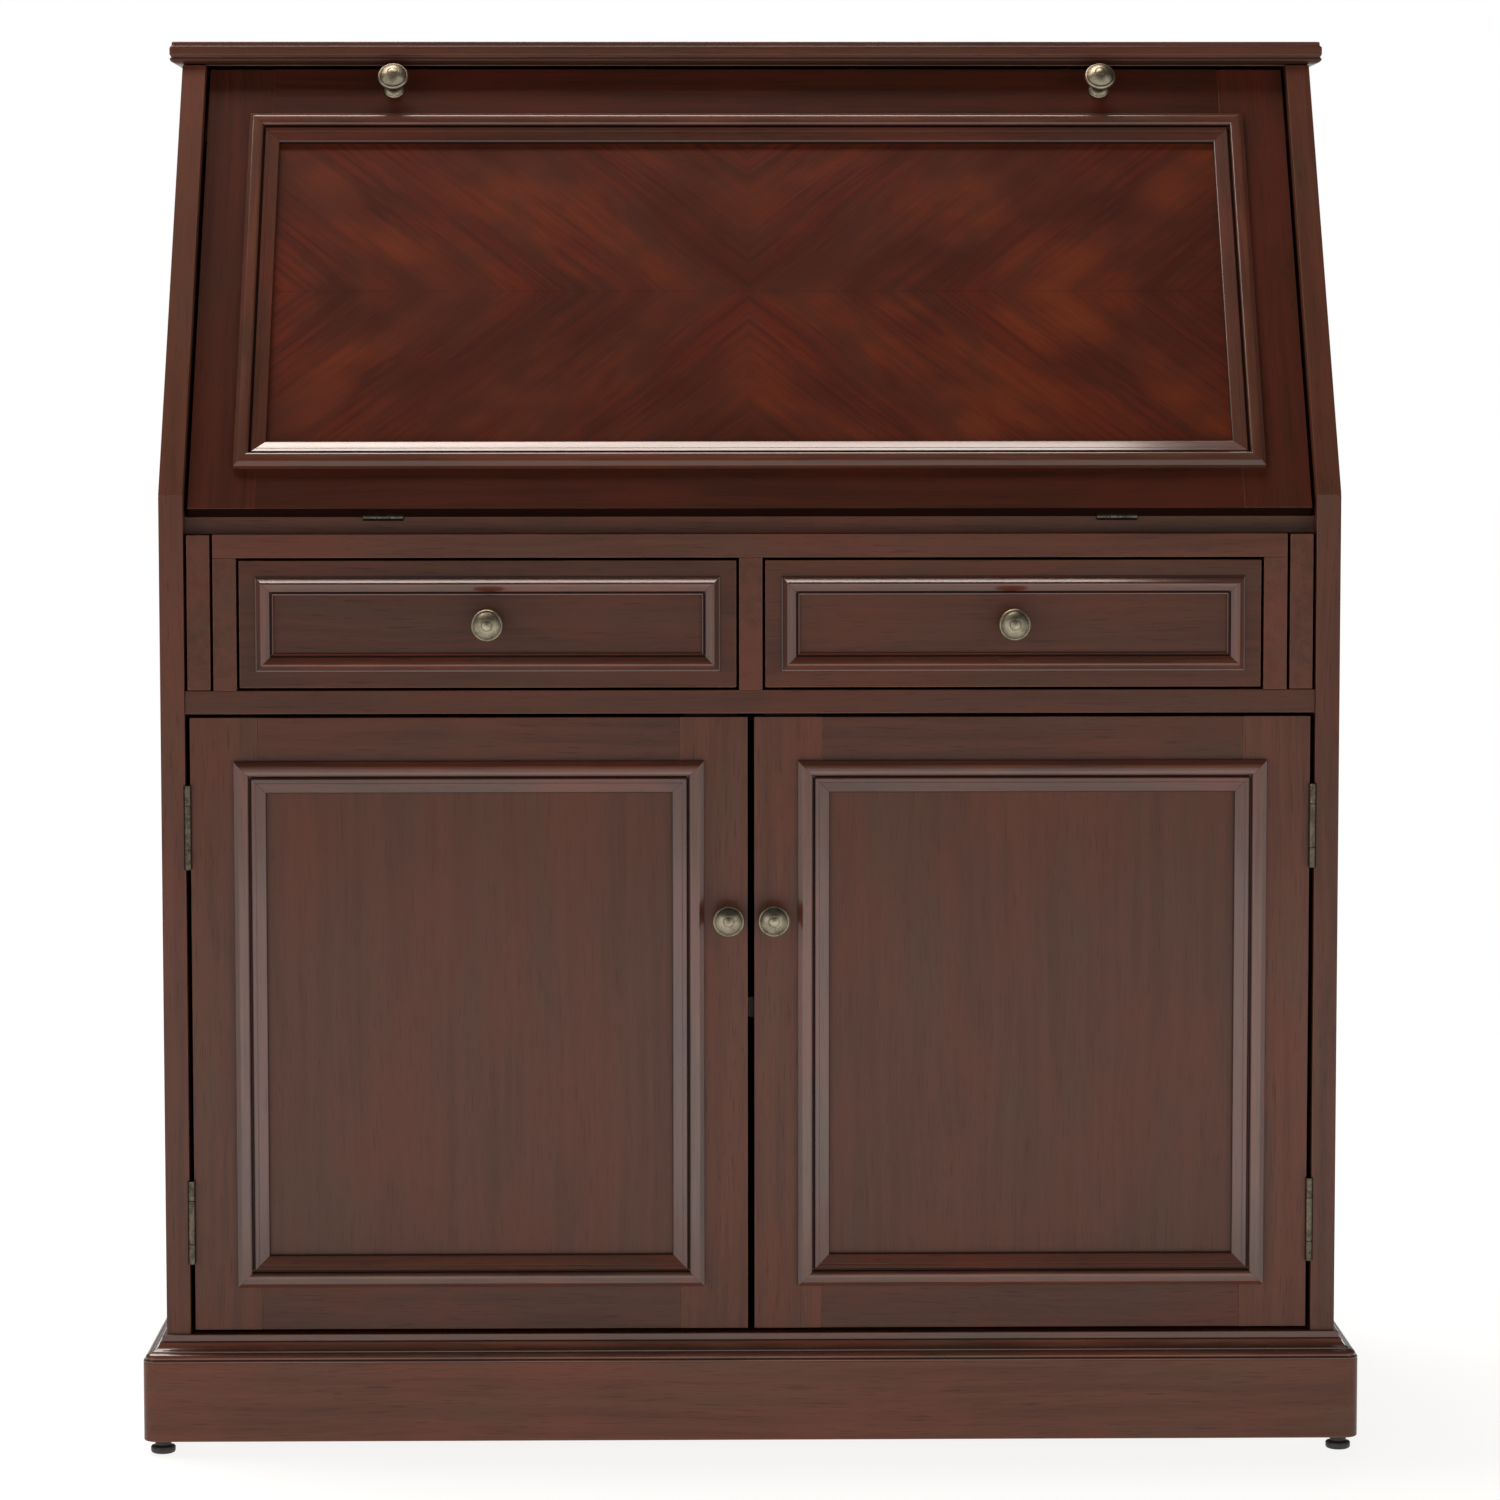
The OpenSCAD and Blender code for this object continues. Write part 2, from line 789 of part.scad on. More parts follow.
module lid_moulding() {
    seat = mould_w - mould_lip;
    rise = lid_len - lid_low_rail_w - lid_top_rail_w + 2 * seat;
    color(mould_c)
        on_lid()
            translate([0, lid_low_rail_w - seat + rise / 2, lid_t])
                moulding_frame(2 * (lid_in_x + seat), rise, mould_w,
                    moulding_section(mould_w, mould_h, mould_lip, panel_recess));
}

module lid_knobs() {
    color(pewter_c)
        on_lid()
            for (x = [-lid_knob_x, lid_knob_x])
                translate([x, lid_len - lid_knob_in, lid_t])
                    knob(knob_r, knob_reach);
}

module lid_hinge_leaves() {
    color(bronze_c)
        on_lid()
            at_lid_hinges(-90)
                hinge_leaf(lid_hinge_len, lid_knuckle_len, lid_leaf_w, 0, false, pin_r + pin_clear);
}

// ---- Lopers ----

module loper() {
    board([loper_x, loper_x + loper_t], [face_y, box_y1],
        [drawer_floor_z + loper_clear, rail_z - loper_clear]);
}

module loper_left() {
    color(frame_c)
        left_side()
            loper();
}

module loper_right() {
    color(frame_c)
        loper();
}

// ---- Drawers ----

module drawer_front() {
    board([drawer_x0, drawer_x1], [face_y, box_y0], [drawer_z0, drawer_z1]);
}

module drawer_moulding() {
    w = drawer_x1 - drawer_x0 - 2 * drawer_margin;
    h = drawer_z1 - drawer_z0 - 2 * drawer_margin;
    on_front(face_y)
        translate([(drawer_x0 + drawer_x1) / 2, (drawer_z0 + drawer_z1) / 2, 0])
            moulding_frame(w, h, drawer_mould_w, moulding_section(drawer_mould_w, mould_h, 0, 0));
}

module drawer_box() {
    x0 = drawer_x0 + box_inset;
    x1 = drawer_x1 - box_inset;
    z0 = drawer_floor_z + box_lift;
    z1 = drawer_z1 - drawer_box_drop;
    board([x0, x0 + drawer_side_t], [box_y0, box_y1], [z0, z1]);
    board([x1 - drawer_side_t, x1], [box_y0, box_y1], [z0, z1]);
    board([x0 + drawer_side_t + glue, x1 - drawer_side_t - glue], [box_y1 - drawer_side_t, box_y1],
        [z0 + bottom_lift + drawer_bottom_t, z1]);
}

module drawer_bottom() {
    x0 = drawer_x0 + box_inset + drawer_side_t;
    x1 = drawer_x1 - box_inset - drawer_side_t;
    z0 = drawer_floor_z + box_lift + bottom_lift;
    board([x0, x1], [box_y0, box_y1], [z0, z0 + drawer_bottom_t]);
}

module drawer_knob() {
    on_front(face_y)
        translate([(drawer_x0 + drawer_x1) / 2, (drawer_z0 + drawer_z1) / 2, 0])
            knob(knob_r, knob_reach);
}

module drawer_left_front() {
    color(frame_c)
        left_side()
            drawer_front();
}

module drawer_left_moulding() {
    color(mould_c)
        left_side()
            drawer_moulding();
}

module drawer_left_box() {
    color(inner_c)
        left_side()
            drawer_box();
}

module drawer_left_bottom() {
    color(inner_c)
        left_side()
            drawer_bottom();
}

module drawer_left_knob() {
    color(pewter_c)
        left_side()
            drawer_knob();
}

module drawer_right_front() {
    color(frame_c)
        drawer_front();
}

module drawer_right_moulding() {
    color(mould_c)
        drawer_moulding();
}

module drawer_right_box() {
    color(inner_c)
        drawer_box();
}

module drawer_right_bottom() {
    color(inner_c)
        drawer_bottom();
}

module drawer_right_knob() {
    color(pewter_c)
        drawer_knob();
}

// ---- Doors ----

module door_stiles() {
    difference() {
        union() {
            board([door_x0, door_x0 + door_frame_w], [face_y, face_y + door_t], [door_z0, door_z1]);
            board([door_x1 - door_frame_w, door_x1], [face_y, face_y + door_t], [door_z0, door_z1]);
        }
        at_door_hinges()
            barrel_room(door_hinge_len);
    }
}

module door_rails() {
    x = [door_x0 + door_frame_w, door_x1 - door_frame_w];
    board(x, [face_y, face_y + door_t], [door_z0, door_z0 + door_frame_w]);
    board(x, [face_y, face_y + door_t], [door_z1 - door_frame_w, door_z1]);
}

module door_panel() {
    board([door_x0 + door_frame_w, door_x1 - door_frame_w], [face_y + panel_recess, face_y + door_t - 5],
        [door_z0 + door_frame_w, door_z1 - door_frame_w]);
}

module door_moulding() {
    seat = mould_w - mould_lip;
    margin = door_frame_w - seat;
    on_front(face_y)
        translate([(door_x0 + door_x1) / 2, (door_z0 + door_z1) / 2, 0])
            moulding_frame(door_x1 - door_x0 - 2 * margin, door_z1 - door_z0 - 2 * margin, mould_w,
                moulding_section(mould_w, mould_h, mould_lip, panel_recess));
}

module door_knob() {
    on_front(face_y)
        translate([door_x0 + door_knob_in, door_knob_h, 0])
            knob(knob_r, knob_reach);
}

module door_left_stiles() {
    color(frame_c)
        left_side()
            door_stiles();
}

module door_left_rails() {
    color(frame_c)
        left_side()
            door_rails();
}

module door_left_panel() {
    color(panel_c)
        left_side()
            door_panel();
}

module door_left_moulding() {
    color(mould_c)
        left_side()
            door_moulding();
}

module door_left_knob() {
    color(pewter_c)
        left_side()
            door_knob();
}

module door_left_hinge_leaves() {
    color(bronze_c)
        left_side()
            door_leaves();
}

module door_right_stiles() {
    color(frame_c)
        door_stiles();
}

module door_right_rails() {
    color(frame_c)
        door_rails();
}

module door_right_panel() {
    color(panel_c)
        door_panel();
}

module door_right_moulding() {
    color(mould_c)
        door_moulding();
}

module door_right_knob() {
    color(pewter_c)
        door_knob();
}

module door_right_hinge_leaves() {
    color(bronze_c)
        door_leaves();
}

// ---- Inner drawer ----

module inner_drawer_boards() {
    back_end = panel_y - 4;
    side_y0 = inner_y + inner_front_t + glue;
    inner_side_x = inner_x - inner_side_t;
    color(inner_c) {
        board([-inner_x, inner_x], [inner_y, inner_y + inner_front_t], [inner_z0, inner_z1]);
        both_sides()
            board([inner_side_x, inner_x], [side_y0, back_end], [writing_h + 0.4, inner_z1 - 6]);
        board([-inner_side_x + glue, inner_side_x - glue], [back_end - inner_side_t, back_end],
            [writing_h + 6 + inner_bottom_t + glue, inner_z1 - 6]);
        board([-inner_side_x + glue, inner_side_x - glue], [side_y0, back_end],
            [writing_h + 6, writing_h + 6 + inner_bottom_t]);
    }
}

module inner_drawer_knob() {
    color(pewter_c)
        on_front(inner_y)
            translate([0, (inner_z0 + inner_z1) / 2, 0])
                knob(0.6 * knob_r, 0.6 * knob_reach);
}

left_side_panel();
right_side_panel();
side_edge_lippings();
top_board();
top_cove();
back_panel();
cabinet_floor();
mid_rail();
drawer_floor_board();
drawer_top_rail();
writing_board();
loper_partitions();
centre_partition();
plinth_front();
plinth_sides();
plinth_back();
plinth_cap_front();
plinth_cap_sides();
plinth_corner_blocks();
glide_feet();
cabinet_shelf();
shelf_pins();
organiser_boards();
door_hinge_case_leaves();
lid_hinge_board_leaves();
hinge_pins();
door_catches();
lid_stops();
lid_stiles();
lid_rails();
lid_panel();
lid_moulding();
lid_knobs();
lid_hinge_leaves();
loper_left();
loper_right();
drawer_left_front();
drawer_left_moulding();
drawer_left_box();
drawer_left_bottom();
drawer_left_knob();
drawer_right_front();
drawer_right_moulding();
drawer_right_box();
drawer_right_bottom();
drawer_right_knob();
door_left_stiles();
door_left_rails();
door_left_panel();
door_left_moulding();
door_left_knob();
door_left_hinge_leaves();
door_right_stiles();
door_right_rails();
door_right_panel();
door_right_moulding();
door_right_knob();
door_right_hinge_leaves();
inner_drawer_boards();
inner_drawer_knob();
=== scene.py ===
"""Secretary desk: the looks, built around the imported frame. Metres, +Z up, front towards -Y."""
import itertools
import json
import math

import bmesh
import bpy
import numpy as np
from mathutils import Matrix, Vector


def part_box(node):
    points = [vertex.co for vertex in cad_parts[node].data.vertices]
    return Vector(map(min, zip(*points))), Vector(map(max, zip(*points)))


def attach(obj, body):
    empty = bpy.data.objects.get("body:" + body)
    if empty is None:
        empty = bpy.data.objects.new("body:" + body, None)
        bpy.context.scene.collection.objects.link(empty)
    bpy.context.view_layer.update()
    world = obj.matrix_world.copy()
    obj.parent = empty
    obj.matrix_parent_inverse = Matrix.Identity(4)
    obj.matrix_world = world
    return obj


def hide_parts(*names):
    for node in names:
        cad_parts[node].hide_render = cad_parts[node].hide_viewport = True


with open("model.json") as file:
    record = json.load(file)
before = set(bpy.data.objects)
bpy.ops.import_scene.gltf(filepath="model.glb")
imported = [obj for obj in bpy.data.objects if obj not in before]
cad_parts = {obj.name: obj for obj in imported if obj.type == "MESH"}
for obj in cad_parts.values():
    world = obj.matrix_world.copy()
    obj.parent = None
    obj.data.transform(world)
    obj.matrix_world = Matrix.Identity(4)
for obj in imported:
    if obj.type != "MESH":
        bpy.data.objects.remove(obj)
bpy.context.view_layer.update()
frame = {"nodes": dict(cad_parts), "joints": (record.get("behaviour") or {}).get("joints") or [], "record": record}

MM = 0.001
SCENE = bpy.context.scene
BODY_OF = {node: body for body, nodes in frame["record"]["behaviour"]["bodies"].items() for node in nodes}
JOINTS = {joint["name"]: joint for joint in frame["joints"]}


def shift(x, y, z):
    return Matrix.Translation((x, y, z))


def spin(degrees, axis):
    return Matrix.Rotation(math.radians(degrees), 4, axis)


# ---- Places, from the frame ----

SIDE_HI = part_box("right_side_panel")[1]
OUT_X, BACK_Y = SIDE_HI.x, SIDE_HI.y
IN_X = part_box("cabinet_floor")[1].x
FRONT_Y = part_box("side_edge_lippings")[0].y
FACE_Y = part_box("mid_rail")[0].y
LID_HINGE = Vector(JOINTS["lid_hinge"]["pos_m"])
LID = Matrix.Translation(LID_HINGE) @ spin(180 - JOINTS["lid_hinge"]["range_deg"][1], "X")
PLINTH_LO, PLINTH_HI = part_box("plinth_front")
PLINTH_OUT = PLINTH_HI.x - OUT_X
PLINTH_R = 10 * MM
EASE = 0.6 * MM


def lid_box(node):
    """A node's box in the lid's frame: x across, y up the slope, z out of it."""
    back = LID.inverted()
    pts = np.array([back @ v.co for v in frame["nodes"][node].data.vertices])
    return Vector(pts.min(0)), Vector(pts.max(0))


# ---- Materials ----

def put(tree, kind, settings=None, **inputs):
    """Adds a node; an input is given by name or as iN, and its value is a socket or a constant."""
    made = tree.nodes.new(kind)
    for key, value in (settings or {}).items():
        setattr(made, key, value)
    for key, value in inputs.items():
        by_place = key[0] == "i" and key[1:].isdigit()
        feed(tree, made.inputs[int(key[1:]) if by_place else key.replace("_", " ")], value)
    return made


def feed(tree, socket, value):
    """Links a socket to the input, or sets the input to a constant."""
    if isinstance(value, bpy.types.NodeSocket):
        tree.links.new(value, socket)
    else:
        socket.default_value = value


def vec(tree, op, a, b=(0.0, 0.0, 0.0)):
    return put(tree, "ShaderNodeVectorMath", {"operation": op}, i0=a, i1=b).outputs[0]


def calc(tree, op, a, b=0.0, c=0.0):
    return put(tree, "ShaderNodeMath", {"operation": op}, i0=a, i1=b, i2=c).outputs[0]


def spread(tree, value, low, high, to_low=0.0, to_high=1.0):
    """Maps low to high onto to_low to to_high with soft ends."""
    return put(tree, "ShaderNodeMapRange", {"interpolation_type": "SMOOTHSTEP"},
               Value=value, From_Min=low, From_Max=high, To_Min=to_low, To_Max=to_high).outputs[0]


def noise(tree, where, scale, detail=2.0, rough=0.5, output="Fac"):
    return put(tree, "ShaderNodeTexNoise", Vector=vec(tree, "MULTIPLY", where, scale),
               Scale=1.0, Detail=detail, Roughness=rough).outputs[output]


def blend(tree, factor, a, b, mode="MIX"):
    made = put(tree, "ShaderNodeMix", {"data_type": "RGBA", "blend_type": mode}, i0=factor, i6=a, i7=b)
    return made.outputs[2]


def bump(tree, shader, height, strength, distance):
    made = put(tree, "ShaderNodeBump", Height=height, Strength=strength, Distance=distance)
    tree.links.new(made.outputs[0], shader.inputs["Normal"])


def rgb(r, g, b):
    return (r, g, b, 1.0)


def deeper(colour, share):
    return rgb(*[share * x for x in colour[:3]])


def attribute(tree, name, output):
    return put(tree, "ShaderNodeAttribute", {"attribute_name": name}).outputs[output]


def principled(name):
    made = bpy.data.materials.new(name)
    made.use_nodes = True
    tree = made.node_tree
    tree.nodes.clear()
    shader = put(tree, "ShaderNodeBsdfPrincipled")
    put(tree, "ShaderNodeOutputMaterial", Surface=shader.outputs[0])
    return made, tree, shader


# Features of each pattern in a metre: along a board, across it and through it
CLOUD = (6.5, 10.0, 10.0)
WANDER = (2.6, 8.0, 8.0)
GROWTH = (3.5, 115.0, 115.0)
RIBBON = (9.0, 34.0, 34.0)
WIDE_RIBBON = (6.0, 22.0, 22.0)
CURLY_RIBBON = (15.0, 30.0, 30.0)
MOTTLE = (7.0, 17.0, 17.0)
PORES = (32.0, 1150.0, 1150.0)
SCUFFS = (16.0, 260.0, 260.0)
PEEL = (260.0, 260.0, 260.0)
RINGS = 26.0
RING_HEART = (0.0, 0.012, 0.03)      # the rings' centre lies this far outside the board's middle
SWAY = (0.0, 0.024, 0.024)           # how far the grain wanders sideways


def book_match(tree, at, angle):
    """Board coordinates of four matched sheets about the panel's middle, and the seam between top and bottom."""
    parts = put(tree, "ShaderNodeSeparateXYZ", Vector=vec(tree, "ABSOLUTE", at))
    x, y, z = parts.outputs
    seam = spread(tree, y, 0.1 * MM, 0.7 * MM, 1.0, 0.0)
    c, s = math.cos(angle), math.sin(angle)
    along = calc(tree, "MULTIPLY_ADD", x, c, calc(tree, "MULTIPLY", y, s))
    across = calc(tree, "MULTIPLY_ADD", y, c, calc(tree, "MULTIPLY", x, -s))
    return put(tree, "ShaderNodeCombineXYZ", X=along, Y=across, Z=z).outputs[0], seam


def wood(name, dark, mid, red, cool, worn, pore=0.5, figure=1.0, rough=0.36, coat=0.12, match=None,
         coat_rough=0.16, rings=0.0, shine=0.2, fineness=1.0, flecks=RIBBON):
    """Stained wood. Its grain follows each board's own coordinates, which every mesh carries.
    The colours are those of the dark and the mid grain, the red mottle, the cool ribbons and the rubbed edges.
    match is None, or the angle of a four-way book-matched veneer about the panel's middle."""
    made, tree, shader = principled(name)
    at = attribute(tree, "grain", "Vector")
    seam, cloud = None, None
    if match is not None:
        cloud = noise(tree, at, CLOUD, 3.0, 0.55)
        at, seam = book_match(tree, at, match)

    # patterns
    wander = vec(tree, "SUBTRACT", noise(tree, at, WANDER, output="Color"), (0.5, 0.5, 0.5))
    p = vec(tree, "ADD", at, vec(tree, "MULTIPLY", wander, SWAY))
    growth = noise(tree, p, tuple(fineness * n for n in GROWTH), 5.0, 0.62)
    ribbon = noise(tree, p, flecks, 3.0)
    mottle = noise(tree, at, MOTTLE, 3.0, 0.55)
    pores = spread(tree, noise(tree, p, PORES), 0.56, 0.72)
    streak = spread(tree, growth, 0.36, 0.68)
    if rings:
        flat = vec(tree, "MULTIPLY", p, (0.0, 1.0, 1.0))
        bands = put(tree, "ShaderNodeTexWave", {"wave_type": "RINGS", "rings_direction": "X"},
                    Vector=vec(tree, "ADD", flat, RING_HEART),
                    Scale=RINGS, Distortion=2.2, Detail=2.0, Detail_Scale=1.4).outputs["Fac"]
        streak = calc(tree, "MULTIPLY_ADD", bands, rings, calc(tree, "MULTIPLY", streak, 1.0 - rings))

    # colour
    colour = blend(tree, calc(tree, "MULTIPLY", streak, figure), mid, dark)
    colour = blend(tree, spread(tree, mottle, 0.42, 0.68, 0.0, 0.62), colour, red)
    colour = blend(tree, spread(tree, ribbon, 0.48, 0.72, 0.0, 0.6), colour, cool)
    colour = blend(tree, calc(tree, "MULTIPLY", pores, pore), colour, deeper(dark, 0.35))
    if seam is not None:
        colour = blend(tree, spread(tree, cloud, 0.36, 0.66, 0.62, 0.0), colour, dark)
        colour = blend(tree, calc(tree, "MULTIPLY", seam, 0.40), colour, deeper(dark, 0.5))
    # tone: painted light and shade for some boards, times a random tone for each board
    tone = attribute(tree, "tone", "Fac")
    grey = put(tree, "ShaderNodeCombineColor", i0=tone, i1=tone, i2=tone).outputs[0]
    colour = blend(tree, 1.0, colour, grey, "MULTIPLY")
    scuffs = spread(tree, noise(tree, at, SCUFFS, 3.0), 0.40, 0.70, 0.12, 0.50)
    colour = blend(tree, calc(tree, "MULTIPLY", attribute(tree, "edge", "Fac"), scuffs), colour, worn)
    # recesses painted dark: partly a dark glaze, partly painted shade
    colour = blend(tree, attribute(tree, "glaze_and_painted_shade", "Fac"), colour, deeper(dark, 0.22))
    tree.links.new(colour, shader.inputs["Base Color"])

    # surface
    gloss = calc(tree, "MULTIPLY_ADD", mottle, 0.12, rough - 0.05)
    tree.links.new(calc(tree, "MULTIPLY_ADD", pores, 0.10, gloss), shader.inputs["Roughness"])
    height = calc(tree, "MULTIPLY_ADD", noise(tree, at, PEEL, 1.0), 0.22, calc(tree, "MULTIPLY", growth, 0.25))
    bump(tree, shader, calc(tree, "MULTIPLY_ADD", pores, -0.5, height), 0.22, 0.22 * MM)
    shader.inputs["Specular IOR Level"].default_value = shine
    shader.inputs["Coat Weight"].default_value = coat
    shader.inputs["Coat Roughness"].default_value = coat_rough
    return made


def metal(name, base, dark, light, rough=0.34, grain=(900.0, 900.0, 900.0)):
    """Patinated cast or rolled metal: dark in its recesses, partly patina and partly painted shade, rubbed on its
    edges.
    """
    made, tree, shader = principled(name)
    at = attribute(tree, "grain", "Vector")
    blotch = noise(tree, at, (170.0, 170.0, 170.0), 4.0, 0.6)
    fine = noise(tree, at, grain, 3.0, 0.6)
    colour = blend(tree, spread(tree, blotch, 0.40, 0.66, 0.0, 0.75), base, dark)
    colour = blend(tree, spread(tree, fine, 0.55, 0.75, 0.0, 0.5), colour, light)
    colour = blend(tree, calc(tree, "MULTIPLY", attribute(tree, "edge", "Fac"), 0.55), colour, light)
    # recesses painted dark: partly patina, partly painted shade
    colour = blend(tree, attribute(tree, "glaze_and_painted_shade", "Fac"), colour, deeper(dark, 0.3))
    tree.links.new(colour, shader.inputs["Base Color"])
    tree.links.new(calc(tree, "MULTIPLY_ADD", blotch, 0.22, rough - 0.1), shader.inputs["Roughness"])
    bump(tree, shader, calc(tree, "MULTIPLY_ADD", fine, 0.35, blotch), 0.35, 0.3 * MM)
    shader.inputs["Metallic"].default_value = 1.0
    return made


def plastic(name, base, light):
    """Moulded plastic with paler scuffs."""
    made, tree, shader = principled(name)
    at = attribute(tree, "grain", "Vector")
    scuff = noise(tree, at, (120.0, 420.0, 120.0), 4.0, 0.6)
    tree.links.new(blend(tree, spread(tree, scuff, 0.55, 0.72, 0.0, 0.55), base, light), shader.inputs["Base Color"])
    tree.links.new(spread(tree, scuff, 0.3, 0.7, 0.42, 0.62), shader.inputs["Roughness"])
    bump(tree, shader, noise(tree, at, (1400.0, 1400.0, 1400.0)), 0.3, 0.2 * MM)
    return made


FINISH = {
    "mahogany": wood("mahogany_stain", rgb(.064, .0225, .0130), rgb(.104, .0355, .0198), rgb(.132, .0350, .0198),
                     rgb(.084, .0385, .0225), rgb(.200, .085, .050), figure=0.75),
    "panel": wood("panel_veneer", rgb(.072, .0255, .0145), rgb(.108, .0375, .0210), rgb(.132, .0370, .0215),
                  rgb(.088, .0415, .0235), rgb(.200, .085, .052), pore=0.3, figure=0.6, rings=0.2,
                  flecks=WIDE_RIBBON),
    "figured_veneer": wood("figured_veneer", rgb(.042, .0100, .0060), rgb(.132, .0200, .0075),
                           rgb(.182, .0340, .0085), rgb(.060, .0160, .0080), rgb(.150, .050, .026),
                           pore=0.4, figure=0.75, match=math.radians(42), rough=0.32, fineness=1.9,
                           flecks=CURLY_RIBBON),
    "moulding": wood("moulding_stain", rgb(.046, .0160, .0095), rgb(.090, .0290, .0165), rgb(.132, .0290, .0165),
                     rgb(.066, .0300, .0180), rgb(.180, .075, .046), rough=0.30, coat=1.0, coat_rough=0.13,
                     figure=0.7),
    # the lid's frame: a darker, redder copy of the mahogany, its darkness painted shade for the lid's upward slope
    "lid_frame": wood("lid_frame_shaded_stain", rgb(.046, .0125, .0070), rgb(.084, .0205, .0108), rgb(.108, .0205, .0110),
                      rgb(.058, .0200, .0110), rgb(.180, .070, .040), figure=0.75, shine=0.14, coat=0.08),
    "desk_wood": wood("interior_stain", rgb(.060, .0220, .0125), rgb(.115, .0410, .0230), rgb(.150, .0410, .0230),
                      rgb(.084, .0420, .0240), rgb(.210, .095, .060), rough=0.42, coat=0.10),
    "inside_wood": wood("bare_wood", rgb(.300, .170, .085), rgb(.430, .270, .150), rgb(.400, .215, .110),
                        rgb(.470, .320, .190), rgb(.520, .360, .220), pore=0.3, figure=0.8, rough=0.60, coat=0.0,
                        rings=0.4),
    "pewter": metal("antique_pewter", rgb(.27, .235, .165), rgb(.085, .070, .048), rgb(.52, .46, .35), 0.40),
    "bronze": metal("dark_bronze", rgb(.105, .088, .064), rgb(.035, .028, .020), rgb(.36, .33, .28), 0.36),
    "steel": metal("bright_steel", rgb(.48, .48, .47), rgb(.24, .23, .22), rgb(.78, .78, .78), 0.3,
                   (200.0, 2200.0, 2200.0)),
    "black_plastic": plastic("black_plastic", rgb(.018, .017, .016), rgb(.060, .056, .052)),
}

# How dark or light some boards are painted: partly their own stain, partly painted shade on the lid, the cove under
# the top, the writing board and the middle of the front, and painted light on the plinth near the floor
STAIN_AND_PAINTED_LIGHT = {
    "lid_stiles": 0.84, "lid_rails": 0.76, "lid_panel": 0.89, "top_cove": 0.5, "writing_board": 0.85,
    "drawer_top_rail": 0.93, "drawer_left_front": 0.76, "drawer_right_front": 0.76, "mid_rail": 0.83,
    "door_left_rails": 0.78, "door_right_rails": 0.78, "door_left_panel": 0.86, "door_right_panel": 0.86,
    "plinth_front": 1.24, "plinth_cap_front": 1.1,
}

# ---- Mesh helpers ----

NUMBERS = itertools.count(1)         # one for each piece, in the order they are made
PATTERN_REACH = 7                    # metres of the patterns over which the boards' grain is scattered
LAYERS = ("edge", "glaze_and_painted_shade")           # of the faces: how far an edge is rubbed, and how dark a recess is painted, partly glaze and patina, partly painted shade


def scatter(*keys):
    """A fixed number from 0 to 1 for these numbers."""
    total = sum((i + 1) * 12.9898 * k for i, k in enumerate(keys))
    return (math.sin(total) * 43758.5453) % 1.0


def face_layers(mesh):
    layers = mesh.faces.layers.float
    return [layers.get(name) or layers.new(name) for name in LAYERS]


def paint(face, layers, i, *rows):
    """Sets each layer of a face to entry i of its row, or to zero past the row's end."""
    for layer, row in zip(layers, rows):
        face[layer] = row[i] if i < len(row) else 0.0


def islands(mesh):
    """The vertex numbers of each loose part of a bmesh."""
    seen, found = set(), []
    mesh.verts.ensure_lookup_table()
    for start in mesh.verts:
        if start.index in seen:
            continue
        seen.add(start.index)
        stack, part = [start], []
        while stack:
            v = stack.pop()
            part.append(v.index)
            for e in v.link_edges:
                w = e.other_vert(v)
                if w.index not in seen:
                    seen.add(w.index)
                    stack.append(w)
        found.append(part)
    return found


def grain_of(pts, axis, turn):
    """Board coordinates for one loose part: along, across and through. The axis is x, y or z of the frame turn,
    "own" for the part's own long direction, or None for the longest side of its box."""
    if axis == "own":
        vectors = np.linalg.eigh(np.cov((pts - pts.mean(0)).T))[1]
        return pts @ vectors[:, ::-1]
    basis = np.array(turn.inverted().to_3x3()) if turn else np.eye(3)
    size = np.ptp(pts @ basis.T, axis=0)
    first = {"x": 0, "y": 1, "z": 2}.get(axis, int(np.argmax(size)))
    rest = sorted((i for i in range(3) if i != first), key=lambda i: -size[i])
    return pts @ basis[[first] + rest].T


def outward(mesh):
    bmesh.ops.recalc_face_normals(mesh, faces=mesh.faces)


def finish(name, mesh, node, kind, replaced=None, axis=None, turn=None, centred=False, tone=0.07,
           sharp=35, weighted=True, slot=None):
    """Turns a bmesh into a piece: board coordinates, tone, smooth shading, material and body."""
    number = next(NUMBERS)
    face_layers(mesh)
    data = bpy.data.meshes.new(name)
    mesh.verts.index_update()
    parts = islands(mesh)
    mesh.to_mesh(data)
    mesh.free()
    co = np.array([v.co for v in data.vertices], float).reshape(-1, 3)
    grain, tones = np.zeros_like(co), np.ones(len(co))
    for i, part in enumerate(parts):
        g = grain_of(co[part], axis, turn)
        if centred:
            g = g - (g.max(0) + g.min(0)) / 2
        else:
            g = g + np.array([scatter(k, number, i) for k in (1, 2, 3)]) * PATTERN_REACH
        grain[part] = g
        # each board's painted light and shade from the table, times its random tone
        tones[part] = STAIN_AND_PAINTED_LIGHT.get(node, 1.0) * (1 + tone * (2 * scatter(4, number, i) - 1))
    data.attributes.new("grain", "FLOAT_VECTOR", "POINT").data.foreach_set("vector", grain.astype(np.float32).ravel())
    data.attributes.new("tone", "FLOAT", "POINT").data.foreach_set("value", tones.astype(np.float32))
    data.shade_smooth()
    data.set_sharp_from_angle(angle=math.radians(sharp))
    piece = bpy.data.objects.new(name, data)
    SCENE.collection.objects.link(piece)
    if weighted:
        piece.modifiers.new("even_normals", "WEIGHTED_NORMAL").keep_sharp = True
    data.materials.append(FINISH[kind])
    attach(piece, BODY_OF[node])
    slot = slot or kind
    if replaced is None:
        replaced = [node]
    if replaced:
        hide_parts(*replaced)
    return piece


